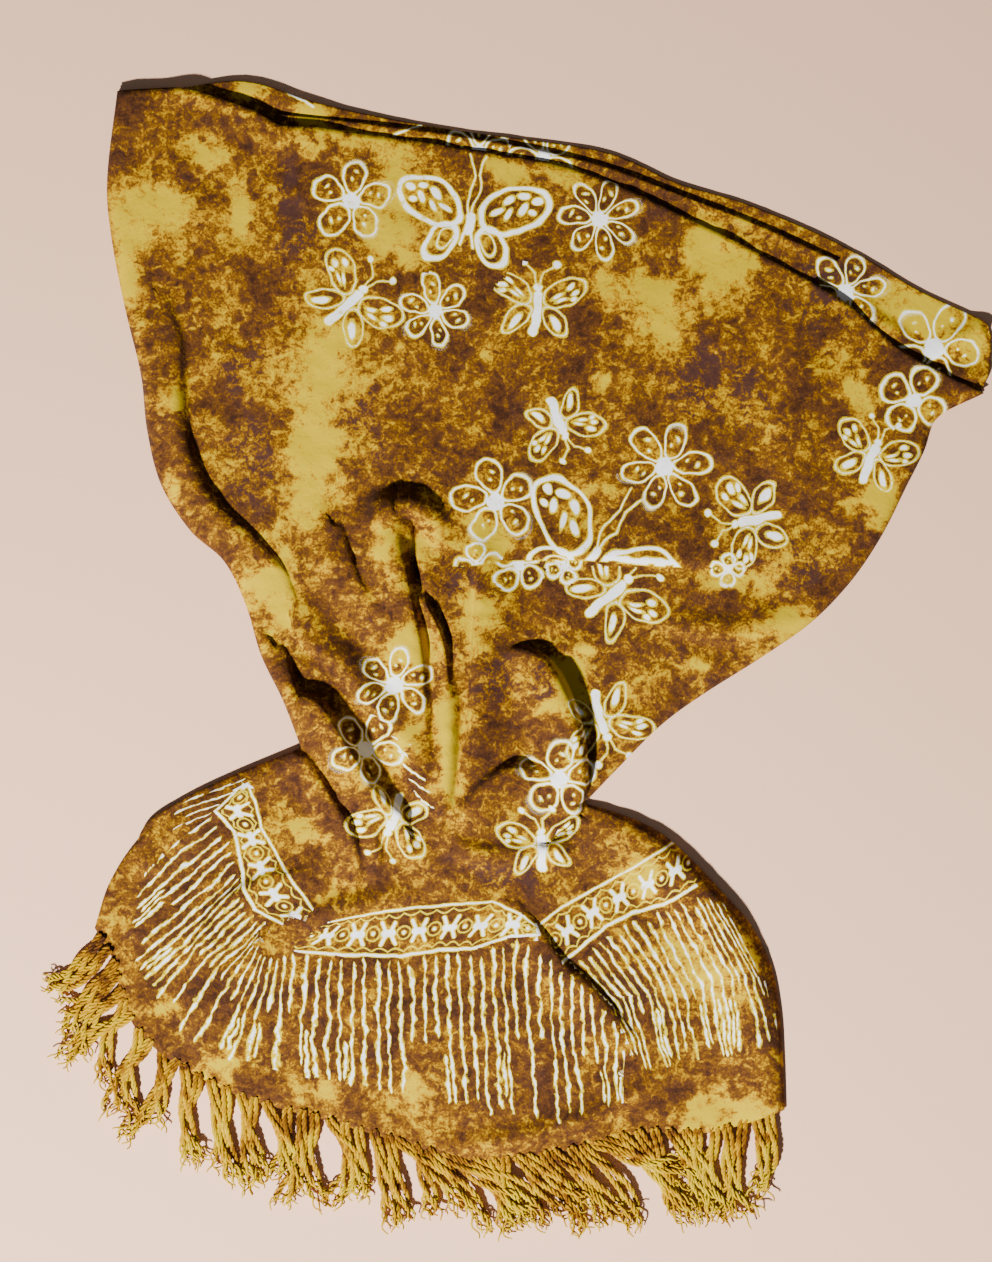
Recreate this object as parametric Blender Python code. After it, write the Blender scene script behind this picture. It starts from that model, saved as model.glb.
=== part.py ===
"""A fringed batik sarong laid out on a flat surface, doubled, fanned at the top and gathered at the waist.

Five stretches of the one cloth show, and each is a closed solid: three panels of the fan lie on each
other, and two panels of the bell below the waist. The knotted fringe hangs off the bell's hem.
Sizes are in millimetres here and become metres when the points are placed. The garment lies on the
XY plane with its fan towards +Y and its fringe towards -Y.
"""

import math

import bmesh
import bpy
import numpy as np

MM = 0.001
COLLECTION_NAME = "sarong"

# Levels of the layers above the surface the cloth lies on
LAYER_GAP = 0.3
BACK_TOP_LEVEL = 2.6
MIDDLE_UNDER_LEVEL = BACK_TOP_LEVEL + LAYER_GAP
MIDDLE_TOP_LEVEL = MIDDLE_UNDER_LEVEL + 1.4
FRONT_UNDER_LEVEL = MIDDLE_TOP_LEVEL + LAYER_GAP
BELL_UNDER_LEVEL = BACK_TOP_LEVEL + LAYER_GAP
WALL = 1.8

# Sides where the front cloth turns under and comes down to the surface
RIM_WIDTH = 3.0
RIM_WALL = 0.2
RIM_EDGE_TOP = 3.0
RIM_EDGE_UNDER = 0.8
ROUNDING = 9.0
SLAB_INSET = RIM_WIDTH + RIM_WALL + 0.7
SLAB_EDGE_INSET = 0.8
RIM_STARTS = 0.075
SLAB_NARROWS = (0.03, 0.055)

# How finely the panels are divided
FAN_COLUMNS = 46
FAN_ROWS = 44
BELL_COLUMNS = 46
BELL_ROWS = 22
TURNED_OFFSETS = (0.0, 1.2, RIM_WIDTH, RIM_WIDTH + RIM_WALL, 6.0, 10.0)
FREE_OFFSETS = (0.0, 1.2, 4.0, 8.0)
HEM_OFFSETS = (0.0, 1.2)
WAIST_OFFSETS = (LAYER_GAP,)
NARROWEST_FOLD = 13.0
FOLD_BLEND = 3.0
SPAN_STEPS = 12
FOLD_SPAN_STEPS = 5
WIDTH_SAMPLES = 60
SLAB_STEP = 11.0

# Outlines of the layers, each a short run of points that a smooth curve goes through
TOP_HEM = (
    (-254, 370), (-201, 362), (-155, 348), (-113, 345), (-51, 336), (14, 326),
    (59, 314), (124, 284), (183, 254), (222, 230), (257, 201), (308, 174),
)
FAN_LEFT = (
    (-254, 370), (-261, 313), (-258, 274), (-249, 228), (-239, 186), (-235, 150), (-226, 115),
    (-207, 85), (-185, 65), (-171, 37), (-161, 4), (-147, -25), (-135, -56),
)
FAN_RIGHT = (
    (308, 174), (278, 158), (268, 134), (256, 110), (241, 80), (222, 52), (197, 26),
    (166, 4), (125, -22), (98, -42), (71, -69), (49, -92),
)
WAIST = ((-135, -56), (-90, -80), (-45, -93), (4, -95), (49, -92))
MIDDLE_TOP = (
    (-252, 371), (-200, 366), (-150, 356), (-100, 351), (-20, 340), (59, 323), (109, 304), (157, 286),
    (214, 260),
)
MIDDLE_END = ((214, 260), (196, 244), (218, 228), (252, 199), (276, 182))
MIDDLE_JOINS_SIDE = 0.10
BACK_TOP = (
    (-254, 373), (-216, 375), (-170, 379), (-121, 364), (-42, 348), (59, 333), (109, 312),
    (157, 297), (218, 270), (265, 242), (306, 222), (313, 212),
)
BACK_RIGHT = ((313, 212), (312, 190), (306, 174))
BELL_FRONT_LEFT = (
    (-135, -56), (-175, -72), (-211, -89), (-236, -106), (-244, -130), (-250, -160), (-256, -197),
)
BELL_BACK_LEFT = ((-136, -57), (-176, -73), (-212, -90), (-241, -117), (-259, -143), (-269, -173))
BELL_RIGHT = (
    (49, -92), (75, -100), (98, -111), (118, -128), (138, -149), (157, -171), (170, -197),
    (176, -227), (178, -259), (179, -291),
)
WHOLE_HEM = (
    (-269, -173), (-262, -185), (-256, -197), (-250, -221), (-239, -242), (-211, -264), (-172, -283),
    (-125, -296), (-76, -310), (-32, -323), (10, -322), (51, -315), (86, -306), (133, -305),
    (179, -291),
)
FRONT_HEM_STARTS = 2

# Folds: name, rise, reach on the left and on the right of its run, and the points of its run
FOLDS = (
    ("gathered middle", 10, 90, 90, ((-52, 70), (-50, 20), (-48, -40), (-44, -100))),
    ("left edge roll", 12, 10, 24, ((-233, 241), (-224, 209), (-218, 170), (-216, 141), (-207, 113),
                                    (-191, 92), (-170, 71), (-155, 40))),
    ("hood", 21, 19, 17, ((-66, 93), (-73, 76), (-76, 53), (-71, 27), (-63, -2), (-59, -38),
                          (-53, -80), (-45, -106))),
    ("left gather", 13, 14, 22, ((-111, 92), (-108, 60), (-99, 43), (-84, 30), (-68, 14), (-60, -2))),
    ("outer gather", 16, 14, 22, ((-144, -12), (-134, -33), (-123, -51), (-109, -69), (-99, -91),
                                  (-89, -123))),
    ("middle gather", 14, 13, 20, ((-136, 40), (-126, 7), (-107, -19), (-81, -48), (-58, -77),
                                   (-45, -100))),
    ("inner pleat", 17, 11, 11, ((-52, 59), (-48, 28), (-42, 4), (-38, -25), (-38, -54), (-41, -90))),
    ("long pleat", 12, 14, 10, ((-25, 56), (-26, 14), (-28, -25), (-31, -64), (-34, -97))),
    ("right roll", 22, 12, 30, ((12, 0), (27, -19), (36, -41), (40, -65), (37, -87), (25, -110))),
    ("dome", 15, 34, 22, ((-31, -111), (-21, -90), (-6, -76), (14, -67))),
    ("left bundle", 13, 16, 14, ((-128, -71), (-122, -97), (-112, -121), (-105, -150))),
    ("apron fold", 9, 14, 14, ((-81, -90), (-77, -111), (-68, -124), (-55, -113))),
    ("cross tuck", 6, 30, 9, ((150, 59), (102, 64), (51, 68), (16, 69), (-18, 66), (-44, 66))),
    ("right soft fold", 4, 26, 14, ((183, 215), (179, 170), (172, 147), (169, 130), (174, 110))),
    ("shoulder roll", 9, 16, 34, ((58, -104), (95, -121), (123, -146), (144, -172), (158, -204),
                                  (164, -246), (166, -279))),
    ("left facet", 6, 16, 26, ((-136, -163), (-165, -159), (-187, -158), (-198, -175), (-205, -197),
                               (-209, -220))),
    ("left shoulder", 6, 14, 14, ((-168, -79), (-193, -93), (-214, -112), (-229, -127), (-240, -145))),
    ("band tuck", 6, 16, 16, ((-125, -158), (-107, -163), (-76, -152), (-51, -145))),
    ("right band pleat", 6, 26, 12, ((15, -180), (33, -194), (59, -210), (80, -228), (85, -246))),
)
TROUGHS = (
    ("left crease", 5, 12, 14, ((-209, 215), (-207, 170), (-205, 139), (-199, 119), (-187, 100),
                                (-168, 89), (-151, 74))),
    ("lower right trough", 3, 24, 24, ((98, 40), (138, 34), (163, 36), (196, 43))),
    ("short crease", 4, 12, 12, ((25, 2), (40, 11), (59, 14))),
    ("hem trough", 3, 20, 20, ((95, -230), (79, -259), (54, -280), (14, -290), (-25, -290))),
)

# The fringe's backing strips lie along the hem, parted from it. Each strip: name, where it starts and
# ends along the whole hem, how many tassels it has, and which way its first and last tassel point.
FRINGE_STRIPS = (
    ("fringe_corner", 0.008, 0.128, 5, -139, -116),
    ("fringe_left", 0.133, 0.345, 8, -112, -92),
    ("fringe_middle", 0.350, 0.610, 9, -84, -56),
    ("fringe_right", 0.615, 0.800, 7, -60, -56),
    ("fringe_end", 0.805, 0.992, 7, -58, -78),
)
STRIP_DEPTH = 3.0
STRIP_HEIGHT = 3.6
STRIP_LIFT = 0.3
LOCKS_IN_TASSEL = 4
LOCK_GAP = 0.7
TASSEL_WIDTH = 9.0
TASSEL_LENGTH = 58.5
TASSEL_SPREAD = 0.8
LENGTH_VARIES = 7.0
LEAN_VARIES = 2.0
UNEVEN_TURNS = (12.9898, 7.233)
# Each further section of a lock: share of its length, half its width, and its bottom and top levels
LOCK_SECTIONS = ((0.45, 0.95, 0.9, 4.2), (1.0, 0.8, 0.4, 2.0))

# Rings of the slabs' edges, each with its inset and its level; a groove parts two layers
DOUBLE_EDGE = ((0.5, 0.0), (0.0, 0.5), (0.0, 0.9), (0.5, 1.3), (0.0, 1.7), (0.0, 2.1),
               (0.5, BACK_TOP_LEVEL))
SINGLE_EDGE = ((0.5, MIDDLE_UNDER_LEVEL), (0.0, MIDDLE_UNDER_LEVEL + 0.5),
               (0.0, MIDDLE_TOP_LEVEL - 0.5), (0.5, MIDDLE_TOP_LEVEL))

BROWN = (0.16, 0.075, 0.02, 1.0)
DARK_BROWN = (0.08, 0.035, 0.015, 1.0)
GOLD = (0.55, 0.36, 0.02, 1.0)
CLOTH_ROUGHNESS = 0.85


def clear_scene():
    """Remove what the file opens with, so that only the sarong's pieces are left."""
    for thing in list(bpy.data.objects):
        bpy.data.objects.remove(thing, do_unlink=True)


def make_material(name, colour):
    """Return a plain cloth material."""
    material = bpy.data.materials.new(name)
    material.use_nodes = True
    shader = material.node_tree.nodes["Principled BSDF"]
    shader.inputs["Base Color"].default_value = colour
    shader.inputs["Roughness"].default_value = CLOTH_ROUGHNESS
    shader.inputs["Metallic"].default_value = 0.0
    return material


def smooth_path(points, per_span=SPAN_STEPS):
    """Run a Catmull-Rom curve through the points and return many points along it."""
    rows = np.array(points, dtype=float)
    before = 2 * rows[0] - rows[1]
    after = 2 * rows[-1] - rows[-2]
    rows = np.vstack([before, rows, after])
    steps = np.arange(per_span) / per_span
    curve = []
    for a, b, c, d in zip(rows[:-3], rows[1:-2], rows[2:-1], rows[3:]):
        for t in steps:
            curve.append(0.5 * (2 * b + (c - a) * t + (2 * a - 5 * b + 4 * c - d) * t ** 2
                                + (3 * b - a - 3 * c + d) * t ** 3))
    curve.append(rows[-2])
    return np.array(curve)


def run_lengths(path):
    """Return how far along the path each of its points lies."""
    return np.r_[0.0, np.cumsum(np.linalg.norm(np.diff(path, axis=0), axis=1))]


def along_rows(path, rows, share):
    """Read a row for each given share of a path's length, between the rows of its points."""
    run = run_lengths(path)
    return np.stack([np.interp(share, run / run[-1], rows[:, axis]) for axis in (0, 1)], axis=-1)


def along(path, share):
    """Return the points at the given shares of a path's length."""
    return along_rows(path, path, share)


def normals_along(path, side):
    """Return unit normals along a path; side 1 points to its left, -1 to its right."""
    heading = np.gradient(path, axis=0)
    heading /= np.linalg.norm(heading, axis=1)[:, None]
    return side * np.stack([-heading[:, 1], heading[:, 0]], axis=1)


def patch_point(edges, u, v):
    """Blend a stretch between its four edges; u runs from left to right and v from top to bottom."""
    top, bottom, left, right = edges
    u_column, v_column = u[..., None], v[..., None]
    across = (1 - v_column) * along(top, u) + v_column * along(bottom, u)
    down = (1 - u_column) * along(left, v) + u_column * along(right, v)
    upper = (1 - u_column) * top[0] + u_column * top[-1]
    lower = (1 - u_column) * bottom[0] + u_column * bottom[-1]
    return across + down - (1 - v_column) * upper - v_column * lower


def fold_profile(spots, rise, left_reach, right_reach, points):
    """Return how high one fold stands at each spot: full on its run, falling to nothing at its reach."""
    path = smooth_path(points, FOLD_SPAN_STEPS)
    start, step = path[:-1], np.diff(path, axis=0)
    away = spots[:, None, :] - start[None]
    share = np.clip((away * step).sum(-1) / (step ** 2).sum(-1), 0, 1)
    gap = away - share[..., None] * step
    distance = np.linalg.norm(gap, axis=-1)
    nearest = distance.argmin(axis=1)
    rows = np.arange(len(spots))
    side = step[nearest, 0] * gap[rows, nearest, 1] - step[nearest, 1] * gap[rows, nearest, 0]
    reach = np.where(side > 0, left_reach, right_reach)
    reach = np.maximum(reach, NARROWEST_FOLD)
    near = np.clip(distance[rows, nearest] / reach, 0, 1)
    return rise * (1 - near ** 2) ** 2


def cloth_rise(spots):
    """Return how far the folds lift the upper face at each spot."""
    ridges = sum(fold_profile(spots, *fold[1:]) ** FOLD_BLEND for fold in FOLDS)
    troughs = sum(fold_profile(spots, *trough[1:]) for trough in TROUGHS)
    return np.maximum(ridges ** (1 / FOLD_BLEND) - troughs, 0.0)


def edge_shares(offsets_before, offsets_after, length, count):
    """Spread count + 1 shares over a length, with fixed distances near its two ends."""
    first = np.array(offsets_before)
    last = length - np.array(offsets_after)[::-1]
    inner = count + 1 - len(first) - len(last)
    middle = np.linspace(first[-1], last[0], inner + 2)[1:-1]
    return np.concatenate([first, middle, last]) / length


def panel_grid(edges, columns, rows, side_offsets, row_offsets):
    """Lay a panel's grid of spots out, with close columns and rows along its edges."""
    middle = patch_point(edges, np.full(2, 0.5), np.array([0.0, 1.0]))
    shares = edge_shares(*row_offsets, np.linalg.norm(middle[1] - middle[0]), rows)
    spots = []
    for v in shares:
        line = patch_point(edges, np.linspace(0, 1, WIDTH_SAMPLES), np.full(WIDTH_SAMPLES, v))
        u = edge_shares(*side_offsets, run_lengths(line)[-1], columns)
        spots.append(patch_point(edges, u, np.full(columns + 1, v)))
    return np.array(spots), shares


def side_distances(spots):
    """Return each spot's distance along its row from the left and from the right side."""
    steps = np.linalg.norm(np.diff(spots, axis=1), axis=2)
    run = np.concatenate([np.zeros((len(spots), 1)), np.cumsum(steps, axis=1)], axis=1)
    return run, run[:, -1:] - run


def rounded(distance):
    """Return a quarter-round from 0 at an edge to 1 where the rounding ends."""
    share = np.clip(distance / ROUNDING, 0, 1)
    return np.sqrt(1 - (1 - share) ** 2)


def panel_levels(spots, under_level, left_turned, right_turned):
    """Return a panel's upper and under levels; a turned side comes down to the surface."""
    left, right = side_distances(spots)
    crown = under_level + WALL + cloth_rise(spots.reshape(-1, 2)).reshape(left.shape)
    free_edge = under_level + WALL / 2
    upper = crown.copy()
    under = np.full_like(crown, under_level)
    for distance, turned in ((left, left_turned), (right, right_turned)):
        turned = np.broadcast_to(np.asarray(turned)[..., None], distance.shape)
        edge_level = np.where(turned, RIM_EDGE_TOP, free_edge)
        upper = np.minimum(upper, edge_level + (crown - edge_level) * rounded(distance))
        under[turned & (distance < RIM_WIDTH + RIM_WALL / 2)] = 0.0
        under[turned & (distance < TURNED_OFFSETS[1] / 2)] = RIM_EDGE_UNDER
    return upper, under


def new_object(name, bm, material, collection):
    """Turn the faces out and make the bmesh a named object."""
    bmesh.ops.recalc_face_normals(bm, faces=bm.faces)
    mesh = bpy.data.meshes.new(name)
    bm.to_mesh(mesh)
    bm.free()
    mesh.materials.append(material)
    thing = bpy.data.objects.new(name, mesh)
    collection.objects.link(thing)
    return thing


def add_sheet(bm, spots, levels):
    """Add one grid sheet whose points lie at the given spots and levels."""
    rows, columns = spots.shape[0] - 1, spots.shape[1] - 1
    sheet = bmesh.ops.create_grid(bm, x_segments=columns, y_segments=rows, size=1.0)
    for vertex in sheet["verts"]:
        column = round((vertex.co.x + 1) / 2 * columns)
        row = round((1 - vertex.co.y) / 2 * rows)
        x, y = spots[row, column]
        vertex.co = (x * MM, y * MM, levels[row, column] * MM)


def panel_solid(name, spots, levels, material, collection):
    """Join an upper and an under sheet round their edges into one closed panel."""
    bm = bmesh.new()
    for sheet_levels in levels:
        add_sheet(bm, spots, sheet_levels)
    bmesh.ops.bridge_loops(bm, edges=[edge for edge in bm.edges if edge.is_boundary])
    return new_object(name, bm, material, collection)


def front_fan(material, collection):
    """Make the front panel above the waist; both its sides turn under."""
    edges = [smooth_path(edge) for edge in (TOP_HEM, WAIST, FAN_LEFT, FAN_RIGHT)]
    spots, shares = panel_grid(edges, FAN_COLUMNS, FAN_ROWS, (TURNED_OFFSETS, TURNED_OFFSETS),
                               (HEM_OFFSETS, WAIST_OFFSETS))
    turned = shares > RIM_STARTS
    upper, under = panel_levels(spots, FRONT_UNDER_LEVEL, turned, turned)
    upper[0] = FRONT_UNDER_LEVEL + WALL / 2
    return panel_solid("front_fan", spots, (upper, under), material, collection)


def front_bell(material, collection):
    """Make the front panel below the waist; its right side turns under, its left side lies free."""
    hem = smooth_path(WHOLE_HEM)[FRONT_HEM_STARTS * SPAN_STEPS:]
    edges = [smooth_path(WAIST), hem, smooth_path(BELL_FRONT_LEFT), smooth_path(BELL_RIGHT)]
    spots, shares = panel_grid(edges, BELL_COLUMNS, BELL_ROWS, (FREE_OFFSETS, TURNED_OFFSETS),
                               (WAIST_OFFSETS, HEM_OFFSETS))
    upper, under = panel_levels(spots, BELL_UNDER_LEVEL, shares < 0, shares >= 0)
    upper[-1] = np.minimum(upper[-1], BELL_UNDER_LEVEL + WALL / 2)
    return panel_solid("front_bell", spots, (upper, under), material, collection)


def pulled_in(points, side, insets):
    """Shift a smooth path sideways; insets are its shifts at the start, and from a share of it on."""
    path = smooth_path(points)
    run = run_lengths(path)
    shift = np.interp(run / run[-1], SLAB_NARROWS, insets)
    return path + shift[:, None] * normals_along(path, side)


def trimmed(path, start_cut, end_cut):
    """Cut a length off each end of a path, where a turned rim comes down beside the slab."""
    length = run_lengths(path)[-1]
    return along(path, np.linspace(start_cut / length, 1 - end_cut / length, len(path)))


def thinned(path):
    """Keep only points about one slab step apart, and the last one."""
    length = run_lengths(path)[-1]
    return along(path, np.linspace(0, 1, max(2, round(length / SLAB_STEP) + 1)))


def slab_outline(*paths):
    """Chain paths clockwise into one outline without doubled corner points."""
    points = np.vstack([thinned(path) for path in paths])
    keep = np.linalg.norm(points - np.roll(points, 1, axis=0), axis=1) > SLAB_EDGE_INSET
    return points[keep]


def layered_slab(name, outline, rings, material, collection):
    """Stack rings of one outline, each pulled in by its inset, so that its layers show at the edge."""
    bm = bmesh.new()
    normals = normals_along(np.vstack([outline[-1:], outline, outline[:1]]), -1)[1:-1]
    loops = []
    for inset, level in rings:
        ring = outline + inset * normals
        loops.append([bm.verts.new((x * MM, y * MM, level * MM)) for x, y in ring])
    bm.faces.new(loops[0])
    bm.faces.new(loops[-1])
    for lower, upper in zip(loops, loops[1:]):
        for i in range(len(outline)):
            j = (i + 1) % len(outline)
            bm.faces.new((lower[i], lower[j], upper[j], upper[i]))
    return new_object(name, bm, material, collection)


def back_fan(material, collection):
    """Make the shared solid of the fan's lowest layers, which shows along the top and at the right."""
    outline = slab_outline(
        smooth_path(BACK_TOP), smooth_path(BACK_RIGHT),
        pulled_in(FAN_RIGHT, -1, (SLAB_EDGE_INSET, SLAB_INSET)),
        trimmed(pulled_in(WAIST, 1, (LAYER_GAP, LAYER_GAP)), SLAB_INSET, SLAB_INSET)[::-1],
        pulled_in(FAN_LEFT, 1, (SLAB_EDGE_INSET, SLAB_INSET))[::-1])
    return layered_slab("back_fan", outline, DOUBLE_EDGE, material, collection)


def middle_fan(material, collection):
    """Make the layer between front and back, a brown strip along the fan's top."""
    side = pulled_in(FAN_RIGHT, -1, (SLAB_INSET, SLAB_INSET))
    outline = slab_outline(
        smooth_path(MIDDLE_TOP), np.array(MIDDLE_END, dtype=float),
        side[round(MIDDLE_JOINS_SIDE * len(side)):],
        trimmed(pulled_in(WAIST, 1, (LAYER_GAP, LAYER_GAP)), SLAB_INSET, SLAB_INSET)[::-1],
        pulled_in(FAN_LEFT, 1, (SLAB_EDGE_INSET, SLAB_INSET))[::-1])
    return layered_slab("middle_fan", outline, SINGLE_EDGE, material, collection)


def back_bell(material, collection):
    """Make the shared solid of the bell's lower layers, which shows as a wedge at the left."""
    outline = slab_outline(
        trimmed(pulled_in(WAIST, -1, (LAYER_GAP, LAYER_GAP)), 0, SLAB_INSET),
        pulled_in(BELL_RIGHT, -1, (SLAB_INSET, SLAB_INSET)),
        trimmed(pulled_in(WHOLE_HEM, 1, (SLAB_EDGE_INSET, SLAB_EDGE_INSET)), 0, SLAB_INSET)[::-1],
        smooth_path(BELL_BACK_LEFT)[::-1])
    return layered_slab("back_bell", outline, DOUBLE_EDGE, material, collection)


def varied(index, reach):
    """Return a fixed, uneven amount between -reach and reach for the index."""
    return reach * math.sin(UNEVEN_TURNS[0] * index) * math.cos(UNEVEN_TURNS[1] * index)


def strip_stations(row, length):
    """Return a strip's stations along the hem, and each lock's lean, length and shift by its station."""
    start_share, end_share, tassels, first_lean, last_lean = row[1:]
    start, end = start_share * length, end_share * length
    pitch = (end - start) / tassels
    lock_width = (TASSEL_WIDTH - (LOCKS_IN_TASSEL - 1) * LOCK_GAP) / LOCKS_IN_TASSEL
    stations, locks = [start], {}
    for tassel in range(tassels):
        share = tassel / (tassels - 1)
        lean = first_lean + share * (last_lean - first_lean) + varied(tassel + start, LEAN_VARIES)
        tassel_start = start + (tassel + 0.5) * pitch - TASSEL_WIDTH / 2
        tassel_length = TASSEL_LENGTH + varied(tassel + end, LENGTH_VARIES)
        for lock in range(LOCKS_IN_TASSEL):
            lock_start = tassel_start + lock * (lock_width + LOCK_GAP)
            shift = (lock - (LOCKS_IN_TASSEL - 1) / 2) * TASSEL_SPREAD
            lock_length = tassel_length + varied(tassel * LOCKS_IN_TASSEL + lock, LENGTH_VARIES / 2)
            locks[len(stations)] = (math.radians(lean), lock_length, shift)
            stations += [lock_start, lock_start + lock_width]
    return stations + [end], locks


def strip_ring(bm, hem, outward, share):
    """Add the four corners of the strip's section at a share of the hem."""
    spot = along(hem, share)
    normal = along_rows(hem, outward, share)
    inner = spot + normal * LAYER_GAP
    outer = spot + normal * (LAYER_GAP + STRIP_DEPTH)
    low, high = STRIP_LIFT, STRIP_LIFT + STRIP_HEIGHT
    corners = ((*inner, low), (*outer, low), (*outer, high), (*inner, high))
    return [bm.verts.new(np.array(corner) * MM) for corner in corners]


def grow_lock(bm, ring, lean, length, shift):
    """Grow one lock out of four corners of the strip: bowed up on its way, and narrow at its tip."""
    centre = sum(np.array(vertex.co) for vertex in ring) / len(ring) / MM
    ahead = np.array([math.cos(lean), math.sin(lean), 0.0])
    aside = np.array([-ahead[1], ahead[0], 0.0])
    for share, half_width, bottom, top in LOCK_SECTIONS:
        middle = centre * (1, 1, 0) + ahead * length * share + aside * shift * share
        corners = ((-half_width, bottom), (half_width, bottom), (half_width, top), (-half_width, top))
        further = [bm.verts.new((middle + aside * across + (0, 0, level)) * MM)
                   for across, level in corners]
        for a in range(4):
            b = (a + 1) % 4
            bm.faces.new((ring[a], ring[b], further[b], further[a]))
        ring = further
    bm.faces.new(ring)


def fringe_strip(row, hem, material, collection):
    """Make one backing strip along the hem with the locks of its tassels grown out of it."""
    length = run_lengths(hem)[-1]
    stations, locks = strip_stations(row, length)
    outward = normals_along(hem, -1)
    bm = bmesh.new()
    rings = [strip_ring(bm, hem, outward, station / length) for station in stations]
    bm.faces.new(rings[0])
    bm.faces.new(rings[-1])
    for i, (before, after) in enumerate(zip(rings, rings[1:])):
        for a, b in ((0, 1), (2, 3), (3, 0)):
            bm.faces.new((before[a], after[a], after[b], before[b]))
        outer_face = (before[1], after[1], after[2], before[2])
        if i in locks:
            grow_lock(bm, outer_face, *locks[i])
        else:
            bm.faces.new(outer_face)
    return new_object(row[0], bm, material, collection)


def main():
    """Build the whole sarong."""
    clear_scene()
    collection = bpy.data.collections.new(COLLECTION_NAME)
    bpy.context.scene.collection.children.link(collection)
    back_fan(make_material("dyed back cloth", GOLD), collection)
    middle_fan(make_material("dyed middle cloth", DARK_BROWN), collection)
    front_fan(make_material("dyed front cloth", BROWN), collection)
    back_bell(make_material("dyed cloth under the bell", DARK_BROWN), collection)
    front_bell(make_material("dyed cloth of the bell", BROWN), collection)
    hem = smooth_path(WHOLE_HEM)
    for row in FRINGE_STRIPS:
        fringe_strip(row, hem, make_material(row[0].replace("_", " "), GOLD), collection)


main()
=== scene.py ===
# %% [markdown]
# # A fringed batik sarong, laid out on a flat surface
# The sarong is one long piece of dyed cloth. It lies doubled: a fan at the top, a gathered waist and
# a bell below it, with a fringe of knotted yarn round the bell's hem. A cloth could be draped by
# simulation, but here each fold is known, so each one is laid one by one as a ridge or a trough in a
# fine grid. That gives the same cloth on every run.

# %% Load the plain model
import math

import bpy
import numpy as np
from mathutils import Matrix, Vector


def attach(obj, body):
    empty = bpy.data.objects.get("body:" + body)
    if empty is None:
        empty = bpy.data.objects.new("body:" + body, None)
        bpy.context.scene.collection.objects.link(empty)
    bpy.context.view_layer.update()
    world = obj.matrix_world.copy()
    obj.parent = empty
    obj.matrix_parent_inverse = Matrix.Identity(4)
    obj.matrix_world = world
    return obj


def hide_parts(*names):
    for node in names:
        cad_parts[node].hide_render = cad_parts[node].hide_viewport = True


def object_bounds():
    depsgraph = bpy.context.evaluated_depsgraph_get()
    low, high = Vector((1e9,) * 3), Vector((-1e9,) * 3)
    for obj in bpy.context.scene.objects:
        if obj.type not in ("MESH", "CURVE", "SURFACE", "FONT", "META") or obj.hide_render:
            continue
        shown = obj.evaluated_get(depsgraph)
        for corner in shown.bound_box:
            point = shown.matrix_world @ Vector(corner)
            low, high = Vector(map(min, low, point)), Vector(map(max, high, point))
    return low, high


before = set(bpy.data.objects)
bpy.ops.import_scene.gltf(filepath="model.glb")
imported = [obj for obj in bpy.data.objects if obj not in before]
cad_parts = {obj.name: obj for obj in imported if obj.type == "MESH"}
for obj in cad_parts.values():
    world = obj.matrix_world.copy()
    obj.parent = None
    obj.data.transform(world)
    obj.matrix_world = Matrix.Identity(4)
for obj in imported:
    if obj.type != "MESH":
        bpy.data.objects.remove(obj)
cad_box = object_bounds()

MM = 0.001
print("Plain pieces:", ", ".join(sorted(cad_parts)))

# %% [markdown]
# ## The outlines
# A maker would lay a tape round the cloth and note where its edge turns. Each outline here is such
# a run of points, in millimetres from the sarong's middle, and a smooth curve goes through them.
# They are close to the plain model's.

# %% Note the outlines
TOP_HEM = (
    (-254, 370), (-216, 372), (-198, 368), (-178, 361), (-164, 356), (-154, 350), (-146, 347),
    (-113, 345), (-51, 336), (14, 326), (59, 314), (124, 284), (183, 254), (222, 230),
    (257, 201), (308, 174),
)
FAN_LEFT = (
    (-254, 370), (-261, 313), (-258, 274), (-249, 228), (-239, 186), (-235, 150), (-226, 115),
    (-207, 85), (-185, 65), (-171, 37), (-161, 4), (-147, -25), (-135, -56),
)
FAN_RIGHT = (
    (308, 174), (278, 158), (268, 134), (256, 110), (241, 80), (222, 52), (197, 26),
    (166, 4), (125, -22), (98, -42), (71, -69), (49, -92),
)
WAIST = ((-135, -56), (-90, -80), (-45, -93), (4, -95), (49, -92))
BELL_FRONT_LEFT = (
    (-135, -56), (-175, -72), (-211, -89), (-236, -106), (-244, -130), (-250, -160), (-256, -197),
)
BELL_BACK_LEFT = ((-136, -57), (-176, -73), (-212, -90), (-241, -117), (-259, -143), (-269, -173))
BELL_RIGHT = (
    (49, -92), (75, -100), (98, -111), (118, -128), (138, -149), (157, -171), (170, -197),
    (176, -227), (178, -259), (179, -291),
)
WHOLE_HEM = (
    (-269, -173), (-262, -185), (-256, -197), (-250, -221), (-239, -242), (-211, -264), (-172, -283),
    (-125, -296), (-76, -310), (-32, -323), (10, -322), (51, -315), (86, -306), (133, -305),
    (179, -291),
)
FRONT_HEM_STARTS = 2
MIDDLE_TOP = (
    (-252, 371), (-200, 366), (-150, 356), (-100, 351), (-20, 340), (59, 323), (109, 304), (157, 286),
    (214, 260),
)
MIDDLE_END = ((214, 260), (196, 244), (218, 228), (252, 199), (276, 182))
BACK_TOP = (
    (-254, 373), (-216, 375), (-170, 379), (-121, 364), (-42, 348), (59, 333), (109, 312),
    (157, 297), (218, 270), (265, 242), (306, 222), (313, 212),
)
BACK_RIGHT = ((313, 212), (312, 190), (306, 174))

# %% [markdown]
# ## Curves and grids
# A Catmull-Rom curve goes through its points, which is easier to steer than a Bezier with handles. A
# stretch of cloth between four such curves is a Coons patch: it blends the two ends and the two sides.

# %% Draw curves and blend patches
SPAN_STEPS, COARSE_STEPS, FINE_SHARES = 12, 5, 2001


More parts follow.
